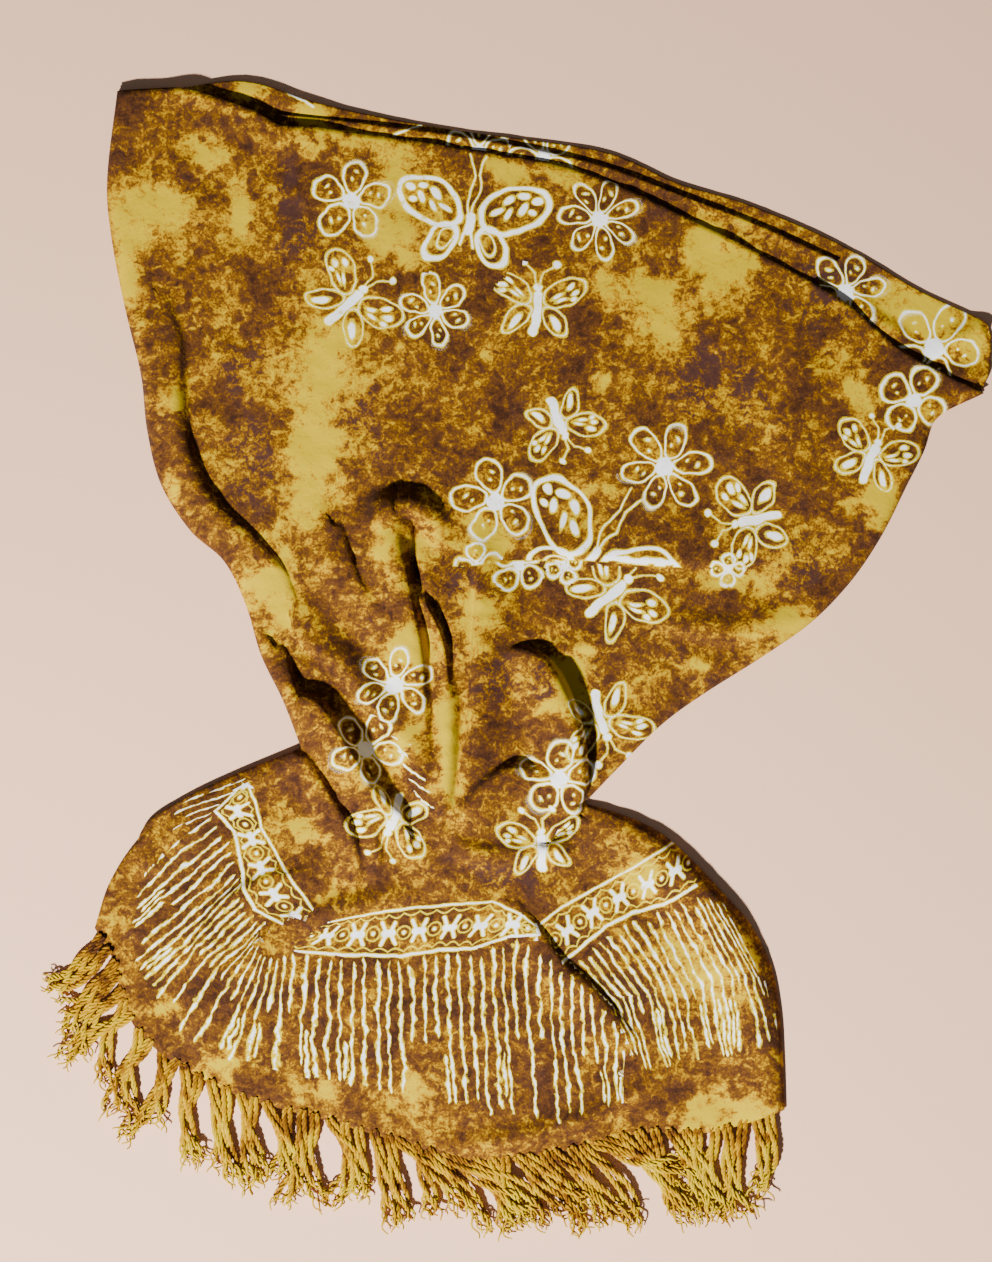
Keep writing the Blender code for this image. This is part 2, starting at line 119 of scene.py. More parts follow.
def smooth_path(points, per_span=SPAN_STEPS):
    """Run a smooth curve through the points."""
    rows = np.array(points, dtype=float)
    rows = np.vstack([2 * rows[0] - rows[1], rows, 2 * rows[-1] - rows[-2]])
    t = (np.arange(per_span) / per_span)[:, None]
    spans = [0.5 * (2 * b + (c - a) * t + (2 * a - 5 * b + 4 * c - d) * t ** 2
                    + (3 * b - a - 3 * c + d) * t ** 3)
             for a, b, c, d in zip(rows[:-3], rows[1:-2], rows[2:-1], rows[3:])]
    return np.vstack(spans + [rows[-2:-1]])


def run_lengths(path):
    """Return how far along the path each of its points lies."""
    return np.r_[0.0, np.cumsum(np.linalg.norm(np.diff(path, axis=0), axis=1))]


def along(path, share):
    """Return the points at the given shares of a path's length."""
    run = run_lengths(path)
    return np.stack([np.interp(share, run / run[-1], path[:, axis]) for axis in (0, 1)], axis=-1)


def beside(path, distance):
    """Return the path shifted sideways: to its left for a positive distance."""
    heading = np.gradient(path, axis=0)
    heading /= np.linalg.norm(heading, axis=1)[:, None]
    shift = np.broadcast_to(distance, len(path))[:, None]
    return path + shift * np.stack([-heading[:, 1], heading[:, 0]], axis=1)


def patch(top, bottom, left, right, u, v):
    """Blend a grid between four curves; u runs from left to right and v from top to bottom."""
    u, v = np.meshgrid(u, v)
    u_, v_ = u[..., None], v[..., None]
    across = (1 - v_) * along(top, u) + v_ * along(bottom, u)
    down = (1 - u_) * along(left, v) + u_ * along(right, v)
    corners = ((1 - v_) * ((1 - u_) * top[0] + u_ * top[-1])
               + v_ * ((1 - u_) * bottom[0] + u_ * bottom[-1]))
    return across + down - corners


def uneven_shares(count, close_at, width, closer):
    """Return count + 1 shares from 0 to 1 that lie closer together round one place."""
    fine = np.linspace(0, 1, FINE_SHARES)
    density = 1 + closer * np.exp(-((fine - close_at) / width) ** 2)
    run = np.r_[0.0, np.cumsum((density[1:] + density[:-1]) / 2)]
    return np.interp(np.linspace(0, 1, count + 1), run / run[-1], fine)


print("Top hem of the fan: %.0f mm" % run_lengths(smooth_path(TOP_HEM))[-1])

# %% [markdown]
# ## The folds
# Cloth that is gathered stands up in soft rolls, and each roll is steeper on the side that its
# crest leans to. A row below is one fold: its name, how high it stands along its run, then for its
# left and its right side how far it reaches and how round it falls (2 is a soft foot, 0.7 a sharp
# one), how far its crest leans to the left, and its run. Sculpting by brush would do too, but rows
# can be measured.

# %% Note the folds in millimetres
FOLDS = (
    ("gathered middle", (3, 8, 9, 9, 6), (90, 2), (80, 2), 0,
     ((-52, 92), (-50, 30), (-48, -40), (-44, -110))),
    ("left edge roll", (2, 7, 11, 12, 11, 8, 5, 2), (9, 0.8), (28, 1.6), 2.5,
     ((-228, 232), (-218, 198), (-216, 156), (-211, 135), (-203, 115), (-192, 98), (-178, 85),
      (-165, 72), (-153, 56), (-146, 38))),
    ("hood", (18, 21, 19, 17, 14, 11, 9), (15, 0.75), (30, 1.5), 2.0,
     ((-76, 88), (-77, 70), (-74, 52), (-69, 34), (-65, 14), (-62, -10), (-60, -40), (-56, -70))),
    ("hood lip", (6, 14, 17, 17, 14, 6), (10, 0.7), (14, 1.2), 1.5,
     ((-44, 80), (-50, 92), (-62, 100), (-76, 100), (-87, 92), (-94, 76))),
    ("left gather", (3, 9, 12, 12, 8, 4), (9, 0.8), (22, 1.8), 2.5,
     ((-114, 82), (-108, 66), (-101, 50), (-91, 35), (-79, 19), (-68, 2))),
    ("outer gather", (4, 13, 17, 18, 17, 12), (9, 0.75), (24, 1.8), 3.5,
     ((-152, 2), (-142, -25), (-127, -31), (-117, -45), (-106, -62), (-95, -82), (-72, -105))),
    ("middle gather", (3, 11, 14, 15, 13, 9), (22, 1.8), (8, 0.9), -1.0,
     ((-136, 22), (-102, -8), (-90, -24), (-76, -39), (-61, -62), (-49, -95))),
    ("inner pleat", (6, 15, 16, 14, 8), (5.5, 0.8), (8, 1.4), 1.8,
     ((-64, 58), (-56, 38), (-48, 22), (-43, 6), (-41, -14))),
    ("long pleat", (7, 12, 13, 13, 11, 8), (34, 2), (4.5, 0.9), -1.0,
     ((-21, 60), (-19, 38), (-21, 12), (-22, -10), (-25, -48), (-31, -80), (-36, -98))),
    ("right roll", (6, 13, 16, 18, 19, 18, 13, 7), (10, 0.7), (34, 1.8), 3.0,
     ((-4, 0), (8, 1), (19, -4), (27, -15), (33, -28), (38, -44), (41, -62), (41, -84), (34, -100))),
    ("yellow pleat", (9, 13, 14, 14, 12), (9, 0.7), (10, 0.7), 0.5,
     ((-41, 6), (-40, -12), (-40, -38), (-41, -66), (-42, -94))),
    ("dome", (9, 15, 16, 14, 8), (9, 0.9), (26, 1.8), 1.5,
     ((-33, -112), (-25, -96), (-14, -82), (0, -73), (18, -74))),
    ("left bundle", (6, 11, 12, 10, 4), (8, 0.8), (15, 1.6), 2.0,
     ((-134, -66), (-124, -82), (-115, -96), (-106, -112), (-100, -138))),
    ("pit fold", (7, 11, 11, 8, 4), (8, 0.8), (13, 1.6), 2.0,
     ((-106, -88), (-97, -90), (-92, -104), (-89, -118), (-88, -134))),
    ("apron fold", (3, 8, 8, 4), (14, 1.6), (12, 1.6), 0,
     ((-72, -96), (-70, -112), (-62, -124), (-48, -116))),
    ("waist knot", (6, 9, 9, 6), (11, 1.4), (16, 1.6), 0,
     ((-48, -104), (-36, -116), (-20, -124), (6, -126))),
    ("pocket", (3, 9, 9, 4), (6, 0.8), (14, 1.6), 1.0,
     ((14, -118), (20, -123), (29, -122), (38, -114))),
    ("cross tuck", (1, 3.2, 3.4, 3.2, 3, 2.4, 1), (3.6, 0.8), (34, 2), 0.6,
     ((152, 64), (104, 65), (82, 67), (50, 70), (16, 70), (-25, 66), (-47, 67), (-60, 69))),
    ("right soft fold", (1, 4, 4.5, 3, 1), (26, 2), (12, 1.6), 0,
     ((190, 218), (183, 188), (178, 156), (172, 132), (178, 106))),
    ("lower right fold", (1, 4, 4.5, 4, 1.5), (10, 1.4), (26, 2), 0,
     ((188, 30), (170, 25), (148, 18), (122, 22), (98, 28))),
    ("short crease", (1, 2.8, 2.6, 1), (14, 2), (3.6, 0.8), 0,
     ((20, -3), (32, 4), (45, 9), (57, 11))),
    ("shoulder roll", (4, 8, 9, 9, 9, 7, 4), (15, 1.2), (34, 2), 0,
     ((58, -106), (95, -123), (121, -147), (142, -172), (156, -204), (164, -246), (167, -282))),
    ("left facet", (3, 6, 6.5, 6, 4), (30, 2), (6, 0.9), -0.8,
     ((-150, -140), (-172, -149), (-187, -160), (-196, -176), (-203, -197), (-206, -219))),
    ("second facet", (2, 4.5, 5, 4, 2), (26, 2), (6, 0.9), -0.5,
     ((-145, -168), (-167, -188), (-187, -210), (-203, -232), (-203, -248))),
    ("left shoulder", (3, 6, 6.5, 6, 4), (9, 1.0), (14, 1.6), 0,
     ((-150, -68), (-172, -84), (-193, -97), (-214, -115), (-230, -133))),
    ("band tuck", (3, 6, 6, 4, 1), (15, 1.8), (7, 0.9), -0.8,
     ((-130, -170), (-112, -164), (-92, -158), (-70, -152), (-50, -148))),
    ("right band pleat", (3, 5, 6, 6, 5, 2), (6, 0.8), (24, 2), 1.5,
     ((3, -160), (16, -176), (33, -199), (53, -216), (71, -238), (80, -248))),
    ("hem swell", (2, 5, 6, 6, 5, 4, 2), (17, 1.8), (10, 1.0), -1.0,
     ((-40, -313), (-12, -311), (12, -307), (50, -294), (66, -286), (84, -278), (101, -262))),
    ("right crease", (0.5, 2.2, 3, 2.6, 0.6), (20, 1.8), (3, 0.9), 0,
     ((184, 202), (178, 172), (171, 150), (169, 128), (175, 108))),
    ("lifted top hem", (1, 3.5, 5, 5, 3.5, 1), (26, 2), (8, 1.2), 0,
     ((-98, 346), (-113, 347), (-134, 347), (-150, 350), (-165, 358), (-180, 364), (-198, 370),
      (-228, 373))),
)
TROUGHS = (
    ("left crease", (2, 5, 6, 5, 3, 1), (14, 1.6), (12, 1.6), 0,
     ((-209, 200), (-207, 158), (-202, 134), (-194, 116), (-183, 101), (-168, 88), (-150, 70))),
    ("shadow valley", (1, 4, 6, 6, 3), (10, 1.6), (12, 1.6), 0,
     ((-122, -12), (-108, -24), (-92, -46), (-78, -68), (-60, -94))),
    ("first slit", (2, 6, 7, 6, 4, 3, 2, 1), (5, 1.4), (5, 1.4), 0,
     ((-70, 83), (-65, 67), (-61, 52), (-59, 36), (-56, 24), (-53, 4), (-51, -24), (-47, -60))),
    ("second slit", (1, 5, 6, 5, 2), (5, 1.4), (4, 1.4), 0,
     ((-61, 56), (-55, 42), (-45, 26), (-39, 8), (-36, -18))),
    ("right trough", (1, 3, 3, 2, 1), (18, 2), (14, 2), 0,
     ((100, 44), (123, 38), (146, 35), (170, 42), (192, 50))),
    ("hem trough", (1, 3, 3.5, 3, 2), (14, 2), (14, 2), 0,
     ((98, -240), (80, -264), (56, -280), (12, -293), (-30, -300))),
    ("hem crease", (0.5, 2, 2, 1.5, 0.5), (5, 1.6), (6, 1.6), 0,
     ((-238, 355), (-222, 358), (-206, 359), (-190, 357), (-172, 352))),
    ("faint fold", (0.5, 1.5, 1.8, 1.5), (6, 2), (12, 2), 0,
     ((-112, 250), (-112, 160), (-112, 120), (-108, 96))),
    ("short fold", (0.5, 2, 2.5, 2), (6, 1.6), (8, 2), 0,
     ((-90, 118), (-94, 96), (-96, 82), (-98, 70))),
    ("shoulder crease", (1, 2.5, 2.5, 2), (6, 1.6), (8, 1.6), 0,
     ((-168, -80), (-192, -94), (-208, -108), (-224, -126))),
)
print(len(FOLDS), "folds and", len(TROUGHS), "troughs")

# %% [markdown]
# ## How a fold lifts the cloth
# For each spot of the cloth the nearest place on the fold's run is found, and the fold's height falls
# away from there. Where two folds meet, a soft maximum joins them, as cloth does, instead of adding
# them up. The lean moves the crest sideways, so that side falls steeply to a dark slit at its foot.

# %% Lift a spot by its folds
FOLD_BLEND = 3.0


def one_fold(spots, rises, left, right, lean, points):
    """Return one fold's height at each spot, and how far it shifts the spot sideways."""
    path = smooth_path(points, COARSE_STEPS)
    start, step = path[:-1], np.diff(path, axis=0)
    away = spots[:, None, :] - start[None]
    share = np.clip((away * step).sum(-1) / (step ** 2).sum(-1), 0, 1)
    gap = away - share[..., None] * step
    distance = np.linalg.norm(gap, axis=-1)
    nearest = distance.argmin(axis=1)
    rows = np.arange(len(spots))
    gap, distance, share = gap[rows, nearest], distance[rows, nearest], share[rows, nearest]
    run = run_lengths(path)
    place = (run[nearest] + share * (run[nearest + 1] - run[nearest])) / run[-1]
    leftward = np.stack([-step[nearest, 1], step[nearest, 0]], axis=1)
    leftward /= np.linalg.norm(leftward, axis=1)[:, None]
    on_left = (leftward * gap).sum(axis=1) > 0
    reach = np.where(on_left, left[0], right[0])
    roundness = np.where(on_left, left[1], right[1])
    profile = (1 - np.clip(distance / reach, 0, 1) ** 2) ** roundness
    height = np.interp(place, np.linspace(0, 1, len(rises)), rises) * profile
    return height, lean * profile[:, None] * leftward


def lifted(spots):
    """Return how high the folds lift each spot, and where they shift it to."""
    total = np.zeros(len(spots))
    shift = np.zeros((len(spots), 2))
    for fold in FOLDS:
        height, lean = one_fold(spots, *fold[1:])
        total += height ** FOLD_BLEND
        shift += lean * (height ** FOLD_BLEND)[:, None]
    shift /= np.maximum(total, 1e-6)[:, None]
    for trough in TROUGHS:
        depth = one_fold(spots, *trough[1:])[0]
        total = np.maximum(total ** (1 / FOLD_BLEND) - depth, 0) ** FOLD_BLEND
    return total ** (1 / FOLD_BLEND), shift


# %% [markdown]
# ## Small wrinkles
# Between its folds a thin rayon cloth is never flat: it has low waves as wide as a finger, and small
# creases from having been folded away. Waves with a fixed seed give them. A noise modifier would do
# the same, but its result couldn't be kept clear of the layers below.

# %% Add low waves
WAVE_COUNT = 14


def waves(spots, size, seed):
    """Return smooth uneven waves between about -1 and 1, size millimetres wide."""
    dice = np.random.default_rng(seed)
    total = np.zeros(len(spots))
    for _ in range(WAVE_COUNT):
        turn = dice.uniform(0, 2 * math.pi)
        pitch = size * dice.uniform(0.7, 1.6)
        along_wave = spots @ np.array([math.cos(turn), math.sin(turn)]) * 2 * math.pi / pitch
        total += np.sin(along_wave + dice.uniform(0, 6.28) + 0.9 * np.sin(along_wave * 0.37 + turn))
    return total / math.sqrt(WAVE_COUNT)


def wrinkles(spots):
    """Return the low relief of the resting cloth in millimetres."""
    broad = 0.55 * waves(spots, 46, 3) + 0.3 * waves(spots, 21, 5)
    small = np.maximum(waves(spots, 13, 8), 0) ** 2 * 0.16
    return broad + small


sample = np.random.default_rng(1).uniform(-200, 200, (500, 2))
print("Wrinkles: +-%.1f mm" % np.abs(wrinkles(sample)).max())

# %% [markdown]
# ## A closed shell from a grid
# Each stretch of cloth is a grid of points. Its underside is the same grid set back by the cloth's
# thickness along its normals, and a strip of faces closes the rim. Solidify could do this as well;
# doing it here keeps every corner's place on the flat cloth, which the dye and wax are drawn by.

# %% Make a shell and keep its flat places
THICKNESS = 0.7


def grid_normals(points):
    """Return the unit normals of a grid of points, upwards where the grid lies flat."""
    down = np.gradient(points, axis=0)
    right = np.gradient(points, axis=1)
    normals = np.cross(down, right)
    return normals / np.maximum(np.linalg.norm(normals, axis=2), 1e-9)[..., None]


def shell_faces(rows, columns, offset, turned):
    """Return the quads of a grid whose points start at offset; turned faces look down."""
    corner = offset + (np.arange(rows - 1)[:, None] * columns + np.arange(columns - 1)[None]).ravel()
    quads = np.stack([corner, corner + columns, corner + columns + 1, corner + 1], axis=1)
    return quads[:, ::-1] if turned else quads


def rim_faces(rows, columns):
    """Return the quads that join the upper grid's border to the lower grid's."""
    index = np.arange(rows * columns).reshape(rows, columns)
    border = np.concatenate([index[0, :-1], index[:-1, -1], index[-1, :0:-1], index[:0:-1, 0]])
    after = np.roll(border, -1)
    count = rows * columns
    return np.stack([border, after, after + count, border + count], axis=1)


def shell_mesh(points, lowest):
    """Return the points and the quads of a closed shell over a grid of points."""
    rows, columns = points.shape[:2]
    inner = points - THICKNESS * grid_normals(points)
    inner[..., 2] = np.maximum(inner[..., 2], lowest)
    corners = np.vstack([points.reshape(-1, 3), inner.reshape(-1, 3)])
    quads = np.vstack([shell_faces(rows, columns, 0, False),
                       shell_faces(rows, columns, rows * columns, True),
                       rim_faces(rows, columns)])
    return corners, quads


def upper_area(points):
    """Return the area in square metres of a grid given in millimetres."""
    a = points[1:, 1:] - points[:-1, :-1]
    b = points[1:, :-1] - points[:-1, 1:]
    return float(np.linalg.norm(np.cross(a, b), axis=2).sum() / 2) * 1e-6


# %% [markdown]
# ## The front of the sarong
# The whole front is one piece of cloth, so it is one grid: the fan's rows run down to the waist and
# the bell's rows go on from there. Two pieces with a seam would show a line across the gathers. The
# columns lie closer together at the gathers. At both sides the cloth turns under, as where it is
# folded round to the back; at the bell's left it ends in a free edge.

# %% Lay the front out flat
COLUMNS, FAN_ROWS, BELL_ROWS = 186, 148, 84
across = uneven_shares(COLUMNS, 0.40, 0.22, 0.9)
fan_down = uneven_shares(FAN_ROWS, 0.80, 0.28, 0.9)
bell_down = uneven_shares(BELL_ROWS, 0.0, 0.3, 0.8)
front_hem = smooth_path(WHOLE_HEM)[FRONT_HEM_STARTS * SPAN_STEPS:]
fan_spots = patch(smooth_path(TOP_HEM), smooth_path(WAIST), smooth_path(FAN_LEFT),
                  smooth_path(FAN_RIGHT), across, fan_down)
bell_spots = patch(smooth_path(WAIST), front_hem, smooth_path(BELL_FRONT_LEFT),
                   smooth_path(BELL_RIGHT), across, bell_down)
front_spots = np.concatenate([fan_spots, bell_spots[1:]])
print("Front grid:", front_spots.shape[:2])

# %% Raise its folds and turn its sides under
FAN_LEVEL, BELL_LEVEL = 6.2, 4.6
EDGE_LEVEL, TURN_UNDER, ROUNDING = 2.6, 7.0, 9.0
LEVEL_ROWS_ABOVE, LEVEL_ROWS, TURN_ROWS_ABOVE, TURN_ROWS, TOP_ROWS = 14, 34, 4, 8, 12
EDGE_DROP, STILL_MARGIN, LOWEST_FRONT = 0.4, 12, 1.6
UNDER_STEPS = ((0.1, 0.55), (TURN_UNDER * 0.35, 0.28), (TURN_UNDER, 0.24))
FIRST_STEP, FREE_SHARE, FREE_GAP = 0.3, 0.25, 0.25


def side_run(spots):
    """Return each spot's distance along its row from the left side."""
    steps = np.linalg.norm(np.diff(spots, axis=1), axis=2)
    return np.concatenate([np.zeros((len(spots), 1)), np.cumsum(steps, axis=1)], axis=1)


def soft_step(value):
    """Return a smooth step from 0 to 1."""
    share = np.clip(value, 0, 1)
    return share * share * (3 - 2 * share)


def rounded(distance, width):
    """Return a quarter-round from 0 at an edge to 1 where the rounding ends."""
    return np.sqrt(1 - (1 - np.clip(distance / width, 0, 1)) ** 2)


def front_points(spots):
    """Return the upper surface of the front, with its folds, wrinkles and lowered sides."""
    flat = spots.reshape(-1, 2)
    rise, shift = lifted(flat)
    shape = spots.shape[:2]
    row = np.arange(shape[0])[:, None]
    past_waist = soft_step((row - FAN_ROWS + LEVEL_ROWS_ABOVE) / LEVEL_ROWS)
    base = FAN_LEVEL + (BELL_LEVEL - FAN_LEVEL) * past_waist
    crown = base + rise.reshape(shape) + wrinkles(flat).reshape(shape)
    left = side_run(spots)
    right = left[:, -1:] - left
    down = np.clip(row / TOP_ROWS, 0, 1)
    left_turned = down * (1 - soft_step((row - FAN_ROWS + TURN_ROWS_ABOVE) / TURN_ROWS))
    upper = crown
    for distance, turned in ((left, left_turned), (right, down)):
        edge = base - EDGE_DROP + (EDGE_LEVEL - base + EDGE_DROP) * turned
        upper = np.minimum(upper, edge + (crown - edge) * rounded(distance, ROUNDING))
    inside = np.clip(np.minimum(left, right) / STILL_MARGIN, 0, 1)[..., None]
    place = spots + shift.reshape(*shape, 2) * inside
    height = np.maximum(upper, LOWEST_FRONT)[..., None]
    return np.concatenate([place, height], axis=2), left_turned, down


def turned_under(points, spots, left_turned, right_turned):
    """Add columns at both sides that bring the cloth round its edge and under itself."""
    parts, flats = [points], [spots]
    for end, inner, amount in ((0, 1, left_turned), (-1, -2, right_turned)):
        inward = points[:, inner, :2] - points[:, end, :2]
        inward /= np.linalg.norm(inward, axis=1)[:, None]
        turn = np.broadcast_to(amount, (len(points), 1))[:, 0]
        extra, flat = [], []
        for distance, level in UNDER_STEPS:
            step = FIRST_STEP + distance * (FREE_SHARE + (1 - FREE_SHARE) * turn)
            spot = points[:, end, :2] + inward * step[:, None]
            edge = points[:, end, 2]
            height = edge * level * turn + (edge - THICKNESS - FREE_GAP) * (1 - turn)
            extra.append(np.concatenate([spot, height[:, None]], axis=1)[:, None])
            flat.append((spots[:, end] - inward * distance)[:, None])
        if end == 0:
            parts = extra[::-1] + parts
            flats = flat[::-1] + flats
        else:
            parts += extra
            flats += flat
    return np.concatenate(parts, axis=1), np.concatenate(flats, axis=1)


front_top, left_turned, right_turned = front_points(front_spots)
front_grid, front_flat = turned_under(front_top, front_spots, left_turned, right_turned)
print("Front: %.3f m2, %.1f to %.1f mm high" % (upper_area(front_grid), front_grid[..., 2].min(),
                                               front_grid[..., 2].max()))

# %% [markdown]
# ## Where the dye and the wax go
# Batik is drawn with hot wax on flat cloth and dyed afterwards, so the pattern lies in the cloth, not
# in space. Each corner of the mesh therefore carries its place in the nearest figure, and its distance
# along and across the band and the long strokes. The materials draw the lines from those numbers, so
# a line stays sharp however coarse the grid is. An image would be easier, but would not be our own.

# %% Note the figures: kind, place, size, turn, petals and side of the tuck
FLOWER, SMALL_BUTTERFLY, LARGE_BUTTERFLY, LINE = 1, 2, 3, 4
BOTH, ABOVE, BELOW = 0, 1, -1
TUCK_EDGE = ((-90, 70), (-66, 66), (-47, 62.5), (-25, 62), (-6, 64.5), (16, 65.5), (50, 65.5),
             (72, 64), (104, 61.5), (152, 62), (190, 62))
FRONT_FIGURES = (
    (FLOWER, (-102, 299), 27, 12, 5, BOTH), (LARGE_BUTTERFLY, (-25, 284), 51, -7, 0, BOTH),
    (FLOWER, (59, 287), 27, 20, 7, BOTH), (SMALL_BUTTERFLY, (-103, 233), 36, -46, 0, BOTH),
    (SMALL_BUTTERFLY, (18, 231), 35, -6, 0, BOTH), (FLOWER, (-48, 227), 24, 40, 6, BOTH),
    (SMALL_BUTTERFLY, (33, 155), 30, 205, 0, BOTH), (FLOWER, (101, 126), 30, 8, 6, BOTH),
    (FLOWER, (-9, 104), 28, 30, 5, BOTH), (LARGE_BUTTERFLY, (53, 66), 60, -36, 0, ABOVE),
    (SMALL_BUTTERFLY, (158, 92), 34, 102, 0, BOTH), (SMALL_BUTTERFLY, (67, 44), 38, -50, 0, BELOW),
    (SMALL_BUTTERFLY, (60, -38), 35, 196, 0, BOTH), (FLOWER, (-75, -15), 25, 20, 6, BOTH),
    (FLOWER, (-93, -57), 25, 60, 5, BOTH), (FLOWER, (30, -76), 25, 15, 5, BOTH),
    (SMALL_BUTTERFLY, (-76, -103), 31, 160, 0, BOTH), (SMALL_BUTTERFLY, (20, -119), 30, 8, 0, BOTH),
    (FLOWER, (262, 170), 23, 60, 4, BOTH), (SMALL_BUTTERFLY, (235, 133), 31, -22, 0, BOTH),
    (FLOWER, (-20, 62), 15, 10, 4, ABOVE), (FLOWER, (6, 62), 17, 50, 4, BELOW),
    (FLOWER, (36, 62), 12, 20, 4, BELOW), (LINE, (84, 66), 26, -3, 0, ABOVE),
    (FLOWER, (142, 60), 11, 0, 4, BOTH),
)
BACK_FIGURES = (
    (FLOWER, (-20, 331), 22, 10, 5, BOTH), (FLOWER, (22, 328), 22, 40, 5, BOTH),
    (FLOWER, (219, 240), 27, 10, 6, BOTH), (FLOWER, (276, 204), 30, 60, 5, BOTH),
    (LINE, (-136, 365), 12, -30, 0, BOTH), (LINE, (-66, 345), 11, 20, 0, BOTH),
)
print(len(FRONT_FIGURES) + len(BACK_FIGURES), "figures")

# %% [markdown]
# ## What was charted on the photograph
# The strokes, the band and the patches of dye were charted, so they are noted in the
# photograph's pixels and turned into whole millimetres from the sarong's middle. A stroke's row is
# its number along the band, its top, middle and foot; the band's rows are pairs of places on its two
# edges; a patch's row is its middle, half its width and half its height.

# %% Note the strokes, the band and the patches
MM_PER_PIXEL, MIDDLE_PIXEL = 0.65, (509, 661.5)
STROKE_PIXELS = (
    ((0, (247, 779), (215, 789), (183, 803)),
     (3, (215, 812), (178, 826), (147, 843))),
    ((4, (212, 815), (172, 848), (139, 880)),
     (7, (233, 838), (180, 885), (133, 921)),
     (10, (240, 870), (186, 920), (137, 962)),
     (12, (243, 885), (190, 937), (146, 979)),
     (14, (247, 902), (198, 948), (155, 998)),
     (16, (257, 914), (210, 955), (167, 1013)),
     (18, (268, 921), (223, 963), (180, 1027)),
     (20, (258, 938), (230, 980), (196, 1042)),
     (22.5, (264, 955), (248, 1000), (224, 1057)),
     (25, (279, 955), (271, 1003), (260, 1063)),
     (27, (293, 953), (290, 1010), (290, 1071)),
     (32, (355, 957), (352, 1025), (352, 1088)),
     (37, (412, 957), (414, 1030), (420, 1095)),
     (42, (470, 951), (473, 1030), (478, 1111)),
     (46.5, (520, 938), (523, 1025), (530, 1112)),
     (49.5, (553, 960), (558, 1040), (566, 1119)),
     (52.5, (585, 988), (590, 1050), (598, 1114)),
     (54.2, (604, 1008), (606, 1060), (611, 1108)),
     (55.8, (620, 1032), (621, 1064), (624, 1098))),
    ((56, (571, 962), (610, 1004), (634, 1062)),
     (59, (590, 948), (631, 997), (650, 1070)),
     (62, (613, 928), (655, 990), (672, 1062)),
     (66, (655, 912), (690, 985), (706, 1056)),
     (70, (690, 898), (730, 975), (740, 1052)),
     (73, (706, 892), (752, 975), (771, 1047)),
     (75, (717, 893), (765, 985), (779, 1040))),
    ((80, (390, 734), (402, 740), (414, 746)),
     (82, (402, 763), (415, 771), (428, 778)),
     (84, (414, 793), (425, 801), (437, 807))),
)
BAND_PIXELS = (
    (((250, 781), (243, 783)), ((259, 804), (213, 810)), ((265, 826), (232, 833)),
     ((277, 848), (238, 858)), ((288, 867), (243, 889)), ((303, 890), (254, 910)),
     ((317, 908), (280, 925))),
    (((330, 918), (292, 952)), ((355, 912), (345, 957)), ((400, 906), (400, 958)),
     ((446, 901), (438, 953)), ((494, 898), (471, 950)), ((516, 910), (510, 938)),
     ((537, 924), (537, 939))),
    (((538, 921), (563, 965)), ((560, 905), (585, 947)), ((590, 888), (606, 929)),
     ((622, 870), (632, 916)), ((655, 849), (665, 906)), ((682, 836), (697, 886))),
)
YELLOW_PIXELS = (
    (150, 220, 50, 28), (120, 275, 12, 35), (205, 150, 25, 10), (243, 215, 7, 25),
    (335, 140, 30, 8), (395, 195, 25, 40), (375, 245, 45, 15), (330, 345, 34, 24),
    (322, 400, 30, 40), (316, 450, 26, 30), (310, 490, 20, 25), (273, 533, 15, 10),
    (275, 600, 18, 30), (171, 484, 9, 12), (180, 400, 15, 20), (510, 175, 20, 10),
    (565, 178, 25, 10), (658, 332, 15, 20), (640, 290, 40, 15), (600, 390, 14, 10),
    (708, 255, 14, 35), (725, 262, 25, 35), (495, 545, 18, 15), (271, 581, 22, 36),
    (424, 541, 20, 14), (389, 545, 12, 20), (478, 537, 16, 14), (407, 640, 18, 14),
    (408, 738, 12, 18), (480, 610, 15, 22), (567, 682, 14, 34), (606, 488, 16, 16),
    (415, 650, 20, 15), (450, 745, 14, 50), (572, 675, 18, 20), (448, 712, 17, 26),
    (447, 765, 11, 28), (740, 580, 30, 10), (790, 632, 30, 15), (708, 660, 12, 10),
    (868, 505, 28, 13), (850, 395, 20, 10), (305, 835, 17, 12), (330, 896, 9, 8),
    (640, 870, 25, 15), (712, 973, 38, 30), (730, 1110, 50, 17), (415, 1085, 18, 25),
    (226, 1070, 12, 8), (318, 1088, 18, 12), (170, 1010, 10, 8), (250, 92, 15, 10),
    (310, 115, 20, 10), (915, 315, 40, 20), (975, 340, 15, 15),
)
PURPLE_PIXELS = (
    (290, 190, 10, 20), (295, 240, 15, 15), (240, 370, 20, 15), (250, 460, 20, 30),
    (700, 380, 25, 25), (750, 400, 15, 20), (795, 560, 25, 20), (513, 686, 30, 15),
    (512, 872, 28, 12), (355, 420, 20, 30), (840, 290, 30, 20), (470, 600, 12, 25),
)


def from_pixels(x, y):
    """Turn a place on the photograph into whole millimetres from the sarong's middle."""
    return round((x - MIDDLE_PIXEL[0]) * MM_PER_PIXEL), round((MIDDLE_PIXEL[1] - y) * MM_PER_PIXEL)


def patch_rows(noted):
    """Turn patches noted in pixels into millimetres."""
    return tuple((*from_pixels(x, y), round(width * MM_PER_PIXEL), round(height * MM_PER_PIXEL))
                 for x, y, width, height in noted)


